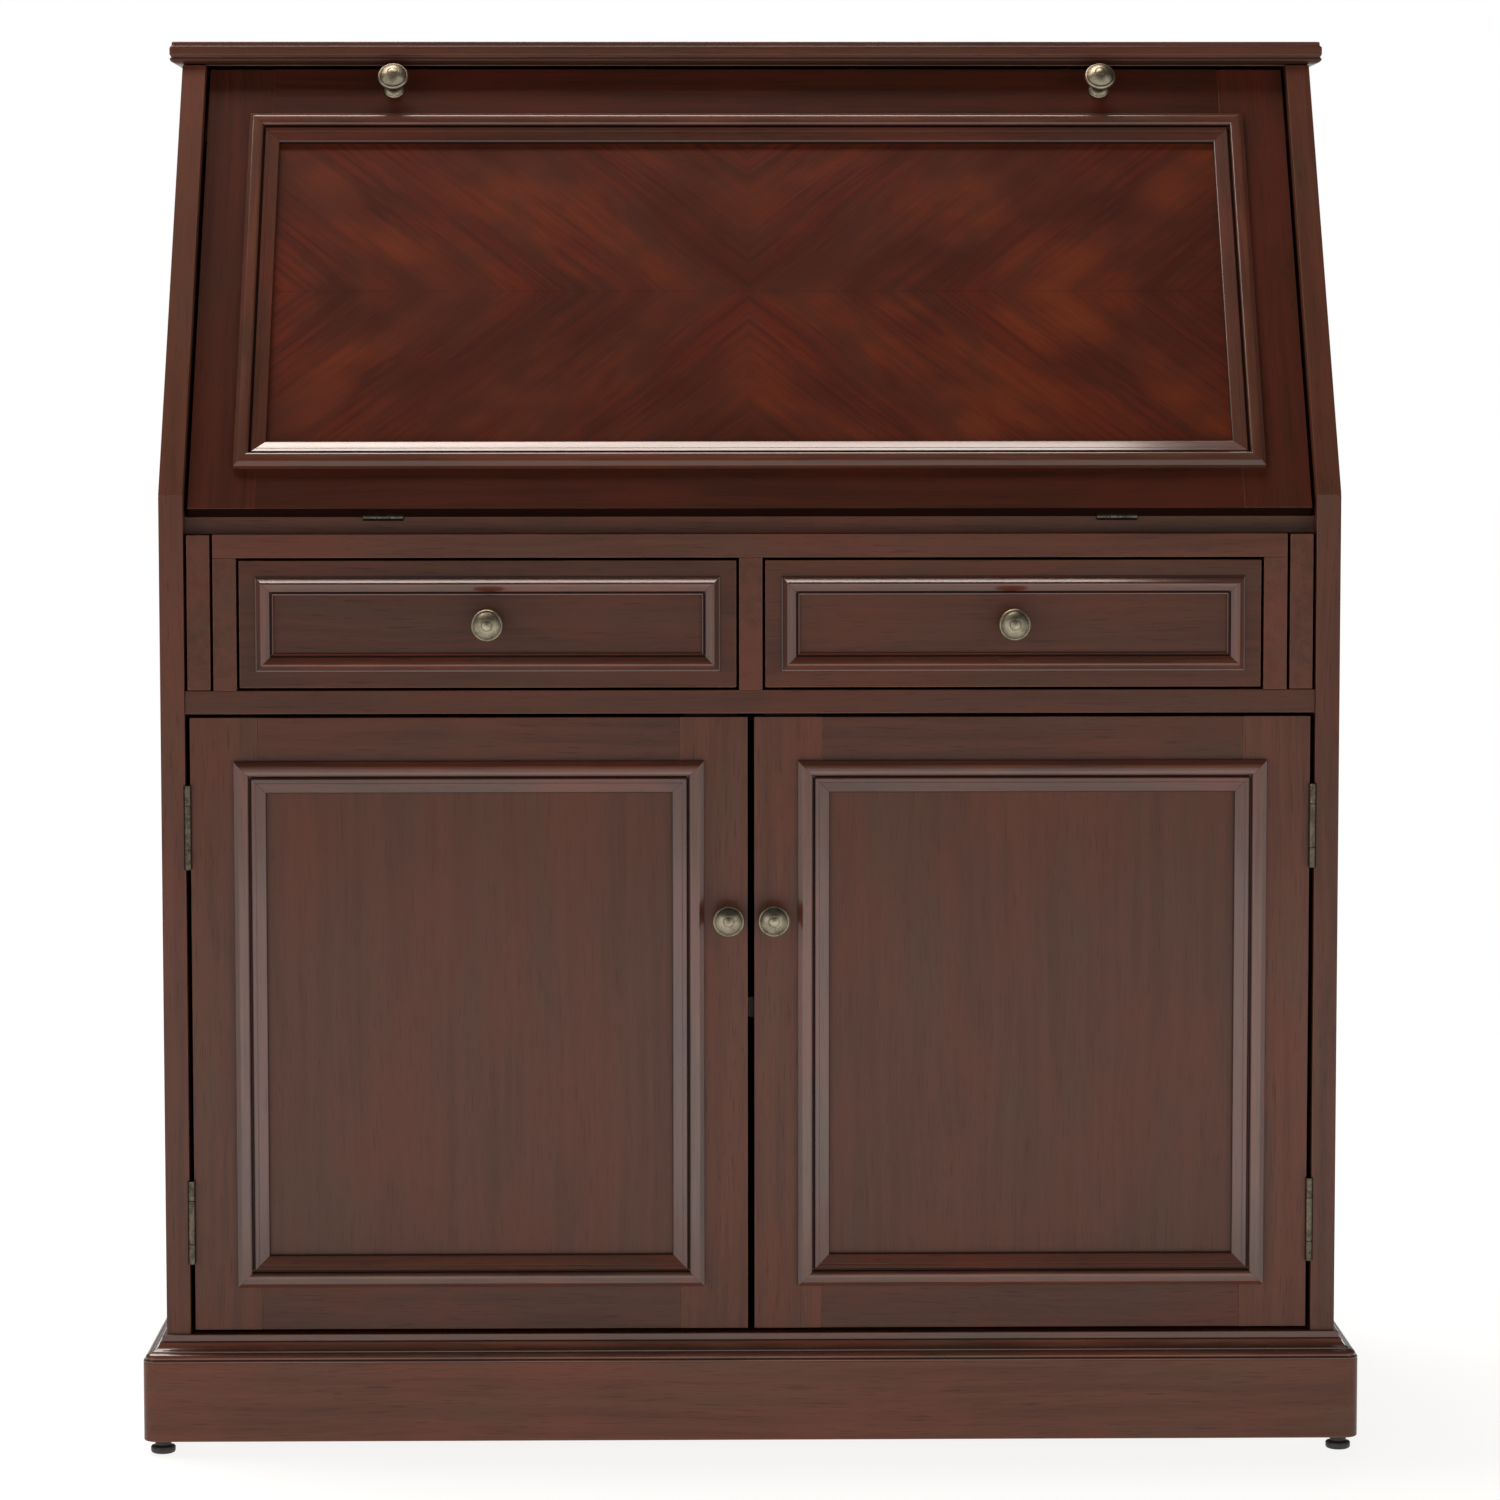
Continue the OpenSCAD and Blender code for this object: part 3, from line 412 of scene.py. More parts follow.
def eased(node, kind, width=EASE, shaded=None, **more):
    """A node's boards with their edges eased, as new meshes. Faces that look along shaded are painted dark, as
    painted shade.
    """
    mesh = bmesh.new()
    mesh.from_mesh(frame["nodes"][node].data)
    bmesh.ops.remove_doubles(mesh, verts=mesh.verts, dist=0.002 * MM)
    bmesh.ops.dissolve_limit(mesh, angle_limit=math.radians(0.5), verts=mesh.verts, edges=mesh.edges)
    mesh.normal_update()
    edge, glaze_and_painted_shade = face_layers(mesh)
    corners = [e for e in mesh.edges if len(e.link_faces) == 2
               and e.calc_face_angle(0) > math.radians(38) and e.calc_length() > 4 * MM]
    made = bmesh.ops.bevel(mesh, geom=corners, offset=width, segments=2, profile=0.5, affect="EDGES",
                           clamp_overlap=True)
    for f in made["faces"]:
        f[edge] = 1.0
    # painted shade on the faces that look along shaded
    if shaded is not None:
        mesh.normal_update()
        for f in mesh.faces:
            if f.normal.dot(shaded) > 0.6:
                f[glaze_and_painted_shade] = 1.0
    return finish(node + "_wood", mesh, node, kind, **more)


def sweep(mesh, lines, edges, glaze_and_shade_rows):
    """A solid from lines of points of equal length, one line for each point of a closed section."""
    layers = face_layers(mesh)
    rows = [[mesh.verts.new(p) for p in line] for line in lines]
    for i, a in enumerate(rows):
        b = rows[(i + 1) % len(rows)]
        for j in range(len(a) - 1):
            paint(mesh.faces.new((a[j], a[j + 1], b[j + 1], b[j])), layers, i, edges, glaze_and_shade_rows)
    mesh.faces.new([r[0] for r in rows])
    mesh.faces.new([r[-1] for r in reversed(rows)])


def loft(mesh, rings, edges, glaze_and_shade_rows=()):
    """A solid from rings of points of equal length, lowest ring first."""
    layers = face_layers(mesh)
    rows = [[mesh.verts.new(p) for p in ring] for ring in rings]
    for i, (a, b) in enumerate(zip(rows, rows[1:])):
        for j in range(len(a)):
            k = (j + 1) % len(a)
            paint(mesh.faces.new((a[j], a[k], b[k], b[j])), layers, i, edges, glaze_and_shade_rows)
    mesh.faces.new(list(reversed(rows[0])))
    mesh.faces.new(rows[-1])


def turned(mesh, section, place, steps, edges=(), glaze_and_shade_rows=()):
    """A solid of revolution about the local Z axis of the matrix place. The section starts and ends on the axis."""
    layers = face_layers(mesh)
    rows = []
    for r, z in section:
        angles = [2 * math.pi * k / steps for k in range(steps if r else 1)]
        rows.append([mesh.verts.new(place @ Vector((r * math.cos(a), r * math.sin(a), z))) for a in angles])
    for i, (a, b) in enumerate(zip(rows, rows[1:])):
        for k in range(steps):
            n = (k + 1) % steps
            if len(a) == 1:
                corners = (a[0], b[n], b[k])
            elif len(b) == 1:
                corners = (a[k], a[n], b[0])
            else:
                corners = (a[k], a[n], b[n], b[k])
            paint(mesh.faces.new(corners), layers, i, edges, glaze_and_shade_rows)


# ---- Outlines, as points in a plane ----

def around(x, y, r, angles):
    """Points on a circle at these angles in degrees."""
    return [(x + r * math.cos(math.radians(a)), y + r * math.sin(math.radians(a))) for a in angles]


def arc(x, y, r, start, end, n):
    return around(x, y, r, [start + (end - start) * i / n for i in range(n + 1)])


def mirrored(points):
    return [(-x, y) for x, y in reversed(points)]


def smooth_line(points, n):
    """A Catmull-Rom line through these points, with n steps between each two."""
    made = []
    for i in range(len(points) - 1):
        p0, p1, p2, p3 = (points[max(i - 1, 0)], points[i], points[i + 1], points[min(i + 2, len(points) - 1)])
        for k in range(n):
            t = k / n
            made.append(tuple(0.5 * (2 * b + (c - a) * t + (2 * a - 5 * b + 4 * c - d) * t * t
                                     + (3 * b - a - 3 * c + d) * t ** 3)
                              for a, b, c, d in zip(p0, p1, p2, p3)))
    return made + [points[-1]]


def sides_of(section):
    """The sides of a closed section, each as its two points."""
    return list(zip(section, section[1:] + section[:1]))


# ---- Boards ----

BOARDS = {
    "mahogany": ["left_side_panel", "right_side_panel", "cabinet_floor", "mid_rail", "drawer_top_rail",
                 "loper_partitions", "centre_partition", "cabinet_shelf", "lid_stops", "loper_left", "loper_right",
                 "drawer_left_front", "drawer_right_front", "door_left_stiles", "door_left_rails",
                 "door_right_stiles", "door_right_rails"],
    "desk_wood": ["writing_board", "organiser_boards", "inner_drawer_boards"],
    "inside_wood": ["back_panel", "drawer_floor_board", "plinth_back", "plinth_corner_blocks", "drawer_left_box",
                    "drawer_left_bottom", "drawer_right_box", "drawer_right_bottom"],
}
PRINT_TONE, PRINT_DEPTH = 0.40, 1.5 * MM
for kind, nodes in BOARDS.items():
    for node in nodes:
        piece = eased(node, kind)
        if node == "back_panel":
            # its inner face carries a dark print, which the open compartments show
            tones = [PRINT_TONE if v.co.y < BACK_Y - PRINT_DEPTH else 1.0 for v in piece.data.vertices]
            piece.data.attributes["tone"].data.foreach_set("value", np.array(tones, np.float32))
# the faces of the lid's frame that look down the slope get painted shade
down_the_lid = -(LID.to_3x3() @ Vector((0, 1, 0)))
for node in ("lid_stiles", "lid_rails"):
    eased(node, "lid_frame", turn=LID, shaded=down_the_lid)
eased("side_edge_lippings", "mahogany", width=1.0 * MM, axis="own")
eased("lid_panel", "figured_veneer", axis="x", turn=LID, centred=True, tone=0.0)
for node in ("door_left_panel", "door_right_panel"):
    eased(node, "panel", axis="z", tone=0.03)
eased("door_catches", "black_plastic")

# ---- Top board and cove ----

TOP_LO, TOP_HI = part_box("top_board")
TOP_R = 2.0 * MM


def top_ring(inset, z):
    """The outline of the top at an inset from its front and sides, its back edge unchanged."""
    x, y, r = TOP_HI.x - inset, TOP_LO.y + inset, TOP_R
    front = (around(-x + r, y + r, r, (180, 202, 225, 247, 270))
             + around(x - r, y + r, r, (270, 292, 315, 337, 360)))
    return [Vector((px, py, z)) for px, py in [(-x, BACK_Y)] + front + [(x, BACK_Y)]]


def top_piece(node, section, edges, glaze_and_shade_rows=()):
    """The top or its cove, from a section of insets and heights over the node's lowest point, in millimetres."""
    mesh = bmesh.new()
    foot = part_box(node)[0].z
    loft(mesh, [top_ring(inset * MM, foot + z * MM) for inset, z in section], edges, glaze_and_shade_rows)
    outward(mesh)
    finish(node + "_wood", mesh, node, "mahogany", axis="x", sharp=40)


top_h = (TOP_HI.z - TOP_LO.z) / MM
nose = ([(1.9, 0.0), (0.9, 0.35)] + arc(2.6, 3.4, 2.6, 232, 180, 4)
        + [(0.0, 5.2), (0.0, 7.0)] + arc(2.3, 7.4, 2.3, 172, 118, 5)
        + [(1.5, 9.95), (1.7, 10.3), (1.55, 10.9), (1.6, top_h - 0.9), (1.9, top_h - 0.3), (2.6, top_h)])
nose_edge = [1.0] * 2 + [0.0] * (len(nose) - 5) + [1.0] * 2
# the band of the nose that runs into its groove is painted dark: painted shade
nose_glaze_and_shade = [0.0] * 12 + [0.75] * 2
top_piece("top_board", nose, nose_edge, nose_glaze_and_shade)
COVE_LO, COVE_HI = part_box("top_cove")
cove_h, cove_w = (COVE_HI.z - COVE_LO.z) / MM, TOP_HI.x / MM - OUT_X / MM
cove = [(cove_w, 0.0), (cove_w - 0.1, 0.6)]
for a in (10, 20, 32, 44, 56, 68, 80, 90):
    cove.append((cove_w * (1 - math.sin(math.radians(a))) * 0.92 + 0.2,
                 0.6 + (cove_h - 1.6) * (1 - math.cos(math.radians(a)))))
cove += [(0.15, cove_h - 0.4), (0.4, cove_h)]
top_piece("top_cove", cove, [1.0])

# ---- Plinth ----


def corner(side, out, start):
    """Half a front corner of a line at a distance out from the case. It starts at 270 or 315 degrees on the right."""
    r = max(PLINTH_R - (PLINTH_OUT - out), 0.0)
    points = around(OUT_X + out - r, FRONT_Y - out + r, r, [start + 9 * i for i in range(6)])
    return [(side * x, y) for x, y in points]


def front_line(out, z):
    right = corner(1, out, 270)
    return [Vector((x, y, z)) for x, y in mirrored(right) + right]


def side_line(side, out, z):
    return [Vector((x, y, z)) for x, y in corner(side, out, 315) + [(side * (OUT_X + out), BACK_Y)]]


cap_h = (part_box("plinth_cap_front")[1].z - PLINTH_HI.z) / MM
full = PLINTH_OUT / MM
CAP = ([(0.0, 0.0), (full, 0.0), (full, 0.8), (full - 0.35, 1.35), (full - 1.6, 1.7)]
       + smooth_line([(full - 1.7, 2.0), (full - 1.5, 3.2), (full - 2.3, 4.9), (full - 4.2, 6.2),
                      (full - 6.0, 6.6)], 3)
       + [(full - 6.3, 6.7), (full - 6.35, 7.5)]
       + smooth_line([(full - 6.6, 7.7), (full - 9.2, 8.8), (full - 11.2, 10.8), (full - 12.2, 13.3)], 4)
       + [(full - 12.4, 13.7), (full - 13.6, 13.95), (full - 13.9, 14.2), (full - 13.9, cap_h - 0.5),
          (full - 14.5, cap_h), (0.0, cap_h)])
CAP_QUIRKS = ((1.3, 2.1), (6.6, 7.7), (13.2, 13.8))      # heights between which the cap is painted dark in its quirks, partly glaze and partly painted shade
cap_glaze_and_shade = [0.8 if any(low < (a[1] + b[1]) / 2 < high for low, high in CAP_QUIRKS) else 0.0
             for a, b in sides_of(CAP)]
cap_edge = [1.0 if math.dist(a, b) < 1.05 and not dark else 0.0 for (a, b), dark in zip(sides_of(CAP), cap_glaze_and_shade)]


def cap_piece(node, lines, axis):
    """A part of the plinth's cap, swept along each of these lines: functions of the distance out and the height."""
    mesh = bmesh.new()
    for line in lines:
        sweep(mesh, [line(out * MM, PLINTH_HI.z + z * MM) for out, z in CAP], cap_edge, cap_glaze_and_shade)
    bmesh.ops.remove_doubles(mesh, verts=mesh.verts, dist=1e-7)
    outward(mesh)
    finish(node + "_wood", mesh, node, "moulding", axis=axis, sharp=28)


cap_piece("plinth_cap_front", [front_line], "x")
cap_piece("plinth_cap_sides", [lambda out, z, side=side: side_line(side, out, z) for side in (-1, 1)], "y")


def plinth_ring(inset, z):
    """The outline of the plinth's front board at an inset from its front and its ends."""
    x, y, r = PLINTH_HI.x - inset, PLINTH_LO.y + inset, PLINTH_R - inset
    right = around(x - r, y + r, r, range(270, 361, 10))
    return [Vector((px, py, z)) for px, py in [(-x, PLINTH_HI.y)] + mirrored(right) + right + [(x, PLINTH_HI.y)]]


mesh = bmesh.new()
low, high = PLINTH_LO.z, PLINTH_HI.z
loft(mesh, [plinth_ring(1.1 * MM, low), plinth_ring(0.35 * MM, low + 0.35 * MM), plinth_ring(0.0, low + 1.1 * MM),
            plinth_ring(0.0, high - 0.7 * MM), plinth_ring(0.25 * MM, high - 0.2 * MM), plinth_ring(0.7 * MM, high)],
     [1.0, 1.0, 0.0, 1.0, 1.0])
outward(mesh)
finish("plinth_front_wood", mesh, "plinth_front", "mahogany", axis="x", sharp=40)
eased("plinth_sides", "mahogany", axis="y")

# ---- Mouldings: a section runs from the outer edge inwards and out from the face, in millimetres ----

BROAD = ([(0.0, 0.0), (0.0, 3.3), (0.2, 3.85), (3.0, 5.9)]
         + smooth_line([(3.6, 6.22), (4.8, 6.43), (6.5, 6.5), (8.4, 6.45), (9.9, 6.1), (10.8, 5.2), (11.2, 4.0)], 3)
         + [(11.3, 2.6), (11.6, 1.5), (12.3, 1.2), (12.7, 1.6), (12.9, 2.6), (13.15, 3.3), (13.6, 3.5), (16.0, 2.78),
            (16.15, 2.5), (16.45, 2.35), (16.7, 2.45), (22.8, 0.6), (23.5, 0.1), (23.9, -0.5), (24.0, -1.2),
            (24.0, -3.5), (18.0, -3.5), (18.0, 0.0)])
BROAD_QUIRKS = [(11.22, 12.95), (23.6, 24.1)]            # spans across the section painted dark in the quirks, partly glaze and partly painted shade
SMALL = ([(0.0, 0.0), (0.0, 1.2), (0.3, 1.75), (0.8, 1.9), (1.2, 1.95), (1.45, 2.35), (4.1, 5.45)]
         + smooth_line([(4.6, 5.95), (5.3, 6.25), (6.2, 6.2), (7.2, 5.8)], 3)
         + [(8.4, 5.15), (9.9, 4.3), (10.9, 3.6), (11.05, 2.4), (11.4, 1.3), (11.9, 1.0), (12.25, 1.4),
            (12.5, 2.0), (12.9, 2.25), (13.5, 2.1), (13.9, 1.6), (14.0, 0.9), (14.0, 0.0)])
SMALL_QUIRKS = [(0.75, 1.4), (10.95, 12.3)]
TONGUE_Z = -2.0                      # below this the section is hidden in the frame
CREST_Z, CREST_STEP = 4.3, 1.6       # short sides above this height are rubbed
GLUE = 0.1 * MM
STICK_POINTS = 9


def moulding(node, place, width, height, section, quirks, turn=None):
    """Four mitred sticks round a rectangle, in the frame that place gives: x across, y up, z out."""
    mesh = bmesh.new()
    sides = sides_of(section)
    # the quirks are painted dark, partly glaze and partly painted shade
    glaze_and_shade_rows = [0.85 if any(a < (p[0] + q[0]) / 2 < b and p[1] > TONGUE_Z for a, b in quirks) else 0.0
              for p, q in sides]
    edges = [0.6 if p[1] > CREST_Z and math.dist(p, q) < CREST_STEP and not dark else 0.0
             for (p, q), dark in zip(sides, glaze_and_shade_rows)]
    for i in range(4):
        length, reach = (width, height) if i % 2 == 0 else (height, width)
        stick = place @ spin(90 * i, "Z")
        lines = []
        for d, z in section:
            half = length / 2 - GLUE - d * MM
            y = -reach / 2 + d * MM
            lines.append([stick @ Vector((x, y, z * MM)) for x in np.linspace(-half, half, STICK_POINTS)])
        sweep(mesh, lines, edges, glaze_and_shade_rows)
    outward(mesh)
    finish(node + "_wood", mesh, node, "moulding", axis="own", turn=turn, sharp=32, tone=0.05)


def facing(x, y, z):
    """A frame at this point with its Y axis up and its Z axis towards the front."""
    return shift(x, y, z) @ spin(90, "X")


def upright(node):
    """The frame of an upright panel in the middle of a node's box, on the face behind it, with its two sides."""
    lo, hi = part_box(node)
    middle = (lo + hi) / 2
    return facing(middle.x, FACE_Y, middle.z), hi.x - lo.x, hi.z - lo.z


for side in ("left", "right"):
    for node, section, quirks in ((f"door_{side}_moulding", BROAD, BROAD_QUIRKS),
                                  (f"drawer_{side}_moulding", SMALL, SMALL_QUIRKS)):
        moulding(node, *upright(node), section, quirks)
lo, hi = lid_box("lid_moulding")
LID_FACE = lid_box("lid_rails")[1].z
moulding("lid_moulding", LID @ shift(0, (lo.y + hi.y) / 2, LID_FACE), hi.x - lo.x, hi.y - lo.y,
         BROAD, BROAD_QUIRKS, turn=LID)

# ---- Knobs: radius and distance from the face in millimetres, then the rubbed sides and the dark sides, patina and painted shade in the grooves and under the head ----

KNOB = [(0, 0), (7.9, 0), (7.9, 0.9), (7.6, 1.5), (6.9, 1.9), (6.7, 2.2), (6.9, 2.6), (6.5, 3.2), (5.4, 3.7),
        (4.8, 4.6), (4.45, 6.2), (4.35, 8.5), (4.5, 10.4), (5.1, 11.8), (6.3, 13.0), (8.0, 14.1), (9.9, 15.1),
        (11.2, 16.1), (11.85, 17.2), (12.0, 18.2), (11.85, 19.1), (11.4, 19.85), (10.9, 20.25), (10.5, 20.35),
        (10.25, 20.3), (9.9, 20.6), (9.2, 21.3), (8.0, 22.4), (6.5, 23.4), (4.9, 24.2), (4.2, 24.45), (3.95, 24.4),
        (3.6, 24.5), (2.9, 24.85), (2.0, 25.15), (1.0, 25.35), (0, 25.4)]
KNOB_EDGE = [0, 0, .5, .3, 0, 0, .6, .3, 0, 0, 0, 0, 0, 0, 0, 0, .1, .3, .5, .6, .6, .5, .2, 0, 0, .1, .2, .3, .3, .2,
             0, 0, .3, .4, .4, .3]
# dark sides: patina in the grooves, and painted shade there and on the neck under the head
KNOB_PATINA_AND_SHADE = [0, 0, 0, 0, .8, .8, 0, 0, .5, .4, .4, .4, .4, .5, .4, .2, 0, 0, 0, 0, 0, 0, .3, .7, .6, .2, 0, 0, 0, 0,
              .4, .5, .1]
KNOB_R = 12 * MM
SMALL_KNOB = 0.6


def knob_piece(node, places, scale=1.0):
    mesh = bmesh.new()
    for place in places:
        turned(mesh, [(r * MM * scale, z * MM * scale) for r, z in KNOB], place, 64, KNOB_EDGE, KNOB_PATINA_AND_SHADE)
    outward(mesh)
    finish(node + "_metal", mesh, node, "pewter", sharp=60, weighted=False, tone=0.0)


for node in ("drawer_left_knob", "drawer_right_knob", "door_left_knob", "door_right_knob"):
    lo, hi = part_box(node)
    knob_piece(node, [facing((lo.x + hi.x) / 2, FACE_Y, (lo.z + hi.z) / 2)])
lo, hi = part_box("inner_drawer_knob")
knob_piece("inner_drawer_knob", [facing((lo.x + hi.x) / 2, hi.y, (lo.z + hi.z) / 2)], SMALL_KNOB)
lo, hi = lid_box("lid_knobs")
knob_piece("lid_knobs", [LID @ shift(s * (hi.x - KNOB_R), (lo.y + hi.y) / 2, LID_FACE) for s in (-1, 1)])

# ---- Hinges ----

BARREL, LEAF, PIN = 2.75 * MM, 1.5 * MM, 1.25 * MM       # the barrel's radius, a leaf's thickness, the pin's radius
KNUCKLE_GAP = 0.3 * MM
DOOR_LEN, DOOR_MIDDLE = 63 * MM, 33 * MM                 # a hinge's length, and that of its middle knuckle
LID_LEN, LID_MIDDLE, LID_LEAF = 30 * MM, 10 * MM, 20 * MM


def knuckle(mesh, place, z0, z1):
    e = 0.25 * MM
    section = [(0, z0), (BARREL - e, z0), (BARREL, z0 + e), (BARREL, z1 - e), (BARREL - e, z1), (0, z1)]
    turned(mesh, section, place, 28, [0, 1, 0, 1, 0])


def plate(mesh, place, x0, y0, y1, z0, z1):
    """A leaf with rounded outer corners, from x0 to x0 + LEAF."""
    q, e = 2 * MM, 0.2 * MM
    plan = [(y0, z0)] + [(y1 - q + a, z0 + q + b) for a, b in arc(0, 0, q, -90, 0, 4)]
    plan += [(y1 - q + a, z1 - q + b) for a, b in arc(0, 0, q, 0, 90, 4)] + [(y0, z1)]
    cy, cz = (y0 + y1) / 2, (z0 + z1) / 2
    rings = []
    for x, k in ((x0, e), (x0 + e, 0), (x0 + LEAF - e, 0), (x0 + LEAF, e)):
        rings.append([place @ Vector((x, y - math.copysign(k, y - cy), z - math.copysign(k, z - cz)))
                      for y, z in plan])
    loft(mesh, rings, [1, 0, 1])


def screw(mesh, place, r):
    """A countersunk head with a cross slot, its face just proud of local z = 0."""
    section = [(0, -0.6 * MM), (r * 0.8, -0.6 * MM), (r, -0.05 * MM), (r, 0.08 * MM), (r * 0.9, 0.16 * MM),
               (r * 0.45, 0.26 * MM), (0, 0.30 * MM)]
    turned(mesh, section, place, 24, [0, 0, 1, .6, .3])
    glaze_and_painted_shade = face_layers(mesh)[1]
    w, l = 0.35 * MM, r * 0.82
    # the slots are painted dark: painted shade
    for angle in (20, 110):
        slot = place @ spin(angle, "Z")
        v = [mesh.verts.new(slot @ Vector((x, y, z))) for z in (0.1 * MM, 0.34 * MM)
             for x, y in ((-l, -w), (l, -w), (l, w), (-l, w))]
        for ids in ((0, 1, 2, 3), (7, 6, 5, 4), (0, 4, 5, 1), (1, 5, 6, 2), (2, 6, 7, 3), (3, 7, 4, 0)):
            mesh.faces.new([v[i] for i in ids])[glaze_and_painted_shade] = 1.0


def hinge(mesh, place, length, middle, leaf_w, x0, outer, face):
    """One leaf: hinge line on local Z, leaf towards local +Y. outer is true for the leaf with the two end knuckles.
    face is +1 if its bare face looks along +X, and -1 if it looks along -X."""
    if outer:
        spans = [(-length / 2, -(middle + KNUCKLE_GAP) / 2), ((middle + KNUCKLE_GAP) / 2, length / 2)]
    else:
        spans = [(-(middle - KNUCKLE_GAP) / 2, (middle - KNUCKLE_GAP) / 2)]
    for a, b in spans:
        knuckle(mesh, place, a, b)
        plate(mesh, place, x0, 0.0, BARREL + 1.2 * MM, a + 0.1 * MM, b - 0.1 * MM)
    plate(mesh, place, x0, BARREL + 0.8 * MM, leaf_w, -length / 2, length / 2)
    count, step = (3, 0.31) if length == DOOR_LEN else (2, 0.5)
    for k in range(count):
        z = (k - (count - 1) / 2) * length * step
        y = BARREL + (leaf_w - BARREL) * (0.42 if k % 2 else 0.62)
        x = x0 + LEAF - 0.14 * MM if face > 0 else x0 + 0.14 * MM
        screw(mesh, place @ shift(x, y, z) @ spin(90 * face, "Y"), 2.7 * MM)


def hinge_piece(name, node, leaves):
    mesh = bmesh.new()
    for leaf in leaves:
        hinge(mesh, *leaf)
    outward(mesh)
    finish(name, mesh, node, "bronze", axis="z", sharp=40, weighted=False, tone=0.0)


case_leaves = []
for side, flip in (("left", Matrix.Scale(-1, 4, (1, 0, 0))), ("right", Matrix.Identity(4))):
    line = JOINTS[f"door_{side}_hinge"]["pos_m"]
    lo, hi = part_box(f"door_{side}_hinge_leaves")
    leaf_w = hi.y - line[1]
    gap = IN_X - abs(line[0])
    door_leaves = []
    for z in (lo.z + DOOR_LEN / 2, hi.z - DOOR_LEN / 2):
        place = flip @ shift(abs(line[0]), line[1], z)
        door_leaves.append((place, DOOR_LEN, DOOR_MIDDLE, leaf_w, -gap, False, 1))
        case_leaves.append((place, DOOR_LEN, DOOR_MIDDLE, leaf_w, gap - LEAF, True, -1))
    hinge_piece(f"door_{side}_hinge_metal", f"door_{side}_hinge_leaves", door_leaves)
hinge_piece("door_hinge_case_metal", "door_hinge_case_leaves", case_leaves)
lid_hinge_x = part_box("lid_hinge_board_leaves")[1].x - LID_LEN / 2
on_board = [shift(s * lid_hinge_x, LID_HINGE.y, LID_HINGE.z) @ spin(90, "Y") for s in (-1, 1)]
on_lid = [LID @ shift(s * lid_hinge_x, 0, 0) @ spin(-90, "Y") for s in (-1, 1)]
hinge_piece("lid_hinge_board_metal", "lid_hinge_board_leaves",
            [(place, LID_LEN, LID_MIDDLE, LID_LEAF, 0.0, True, -1) for place in on_board])
hinge_piece("lid_hinge_lid_metal", "lid_hinge_leaves",
            [(place, LID_LEN, LID_MIDDLE, LID_LEAF, 0.0, False, -1) for place in on_lid])

# ---- Small parts ----


def small_piece(name, mesh, node, kind, **more):
    outward(mesh)
    finish(name, mesh, node, kind, sharp=40, weighted=False, tone=0.0, **more)


mesh = bmesh.new()
e, neck, head = 0.3 * MM, 1.6 * MM, 2.3 * MM
for side in ("left", "right"):
    line = JOINTS[f"door_{side}_hinge"]["pos_m"]
    lo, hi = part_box(f"door_{side}_hinge_leaves")
    for z in (lo.z, hi.z - DOOR_LEN):
        turned(mesh, [(0, -e), (neck, -e), (head, 0), (head, e), (PIN, e), (PIN, DOOR_LEN - e), (head, DOOR_LEN - e),
                      (head, DOOR_LEN), (neck, DOOR_LEN + e), (0, DOOR_LEN + e)], shift(line[0], line[1], z), 24)
for place in on_board:
    turned(mesh, [(0, -LID_LEN / 2), (PIN * .8, -LID_LEN / 2), (PIN, -LID_LEN / 2 + .2 * MM),
                  (PIN, LID_LEN / 2 - .2 * MM), (PIN * .8, LID_LEN / 2), (0, LID_LEN / 2)], place, 24)
small_piece("hinge_pins_metal", mesh, "hinge_pins", "bronze", slot="steel")

mesh = bmesh.new()
pts = np.array([v.co for v in frame["nodes"]["shelf_pins"].data.vertices])
low, high = pts.min(0), pts.max(0)
pin_z, r = (high[2] + low[2]) / 2, (high[2] - low[2]) / 2
reach = np.abs(pts[:, 0])
start, length = reach.min(), np.ptp(reach)
stop = IN_X - start                  # where the collar meets the side panel
front = pts[:, 1] < (low[1] + high[1]) / 2
section = [(0, 0), (r * .7, 0), (r, .5 * MM), (r, stop - 1.4 * MM), (r * 1.5, stop - 1.2 * MM),
           (r * 1.5, stop - .1 * MM), (r, stop), (r, length - .4 * MM), (r * .8, length), (0, length)]
for side in (-1, 1):
    for row in (pts[front, 1], pts[~front, 1]):
        place = shift(side * start, (row.min() + row.max()) / 2, pin_z) @ spin(90 * side, "Y")
        turned(mesh, section, place, 28, [0, 1, 0, 1, 1, 1])
small_piece("shelf_pins_metal", mesh, "shelf_pins", "steel")

mesh = bmesh.new()
pts = np.array([v.co for v in frame["nodes"]["glide_feet"].data.vertices])
foot_h, r = pts[:, 2].max(), (pts[:, 0].max() - pts[pts[:, 0] > 0][:, 0].min()) / 2
foot_x = pts[:, 0].max() - r
section = [(0, 0), (r * .82, 0), (r * .93, .5 * MM), (r, 1.6 * MM), (r, 4.6 * MM), (r * .95, 5.2 * MM),
           (r * .72, 5.6 * MM), (r * .66, 6.2 * MM), (r * .66, foot_h), (0, foot_h)]
for side in (-1, 1):
    for y in (pts[:, 1].min() + r, pts[:, 1].max() - r):
        turned(mesh, section, shift(side * foot_x, y, 0), 40, [0, 1, 1, 0, 1])
small_piece("glide_feet_plastic", mesh, "glide_feet", "black_plastic")

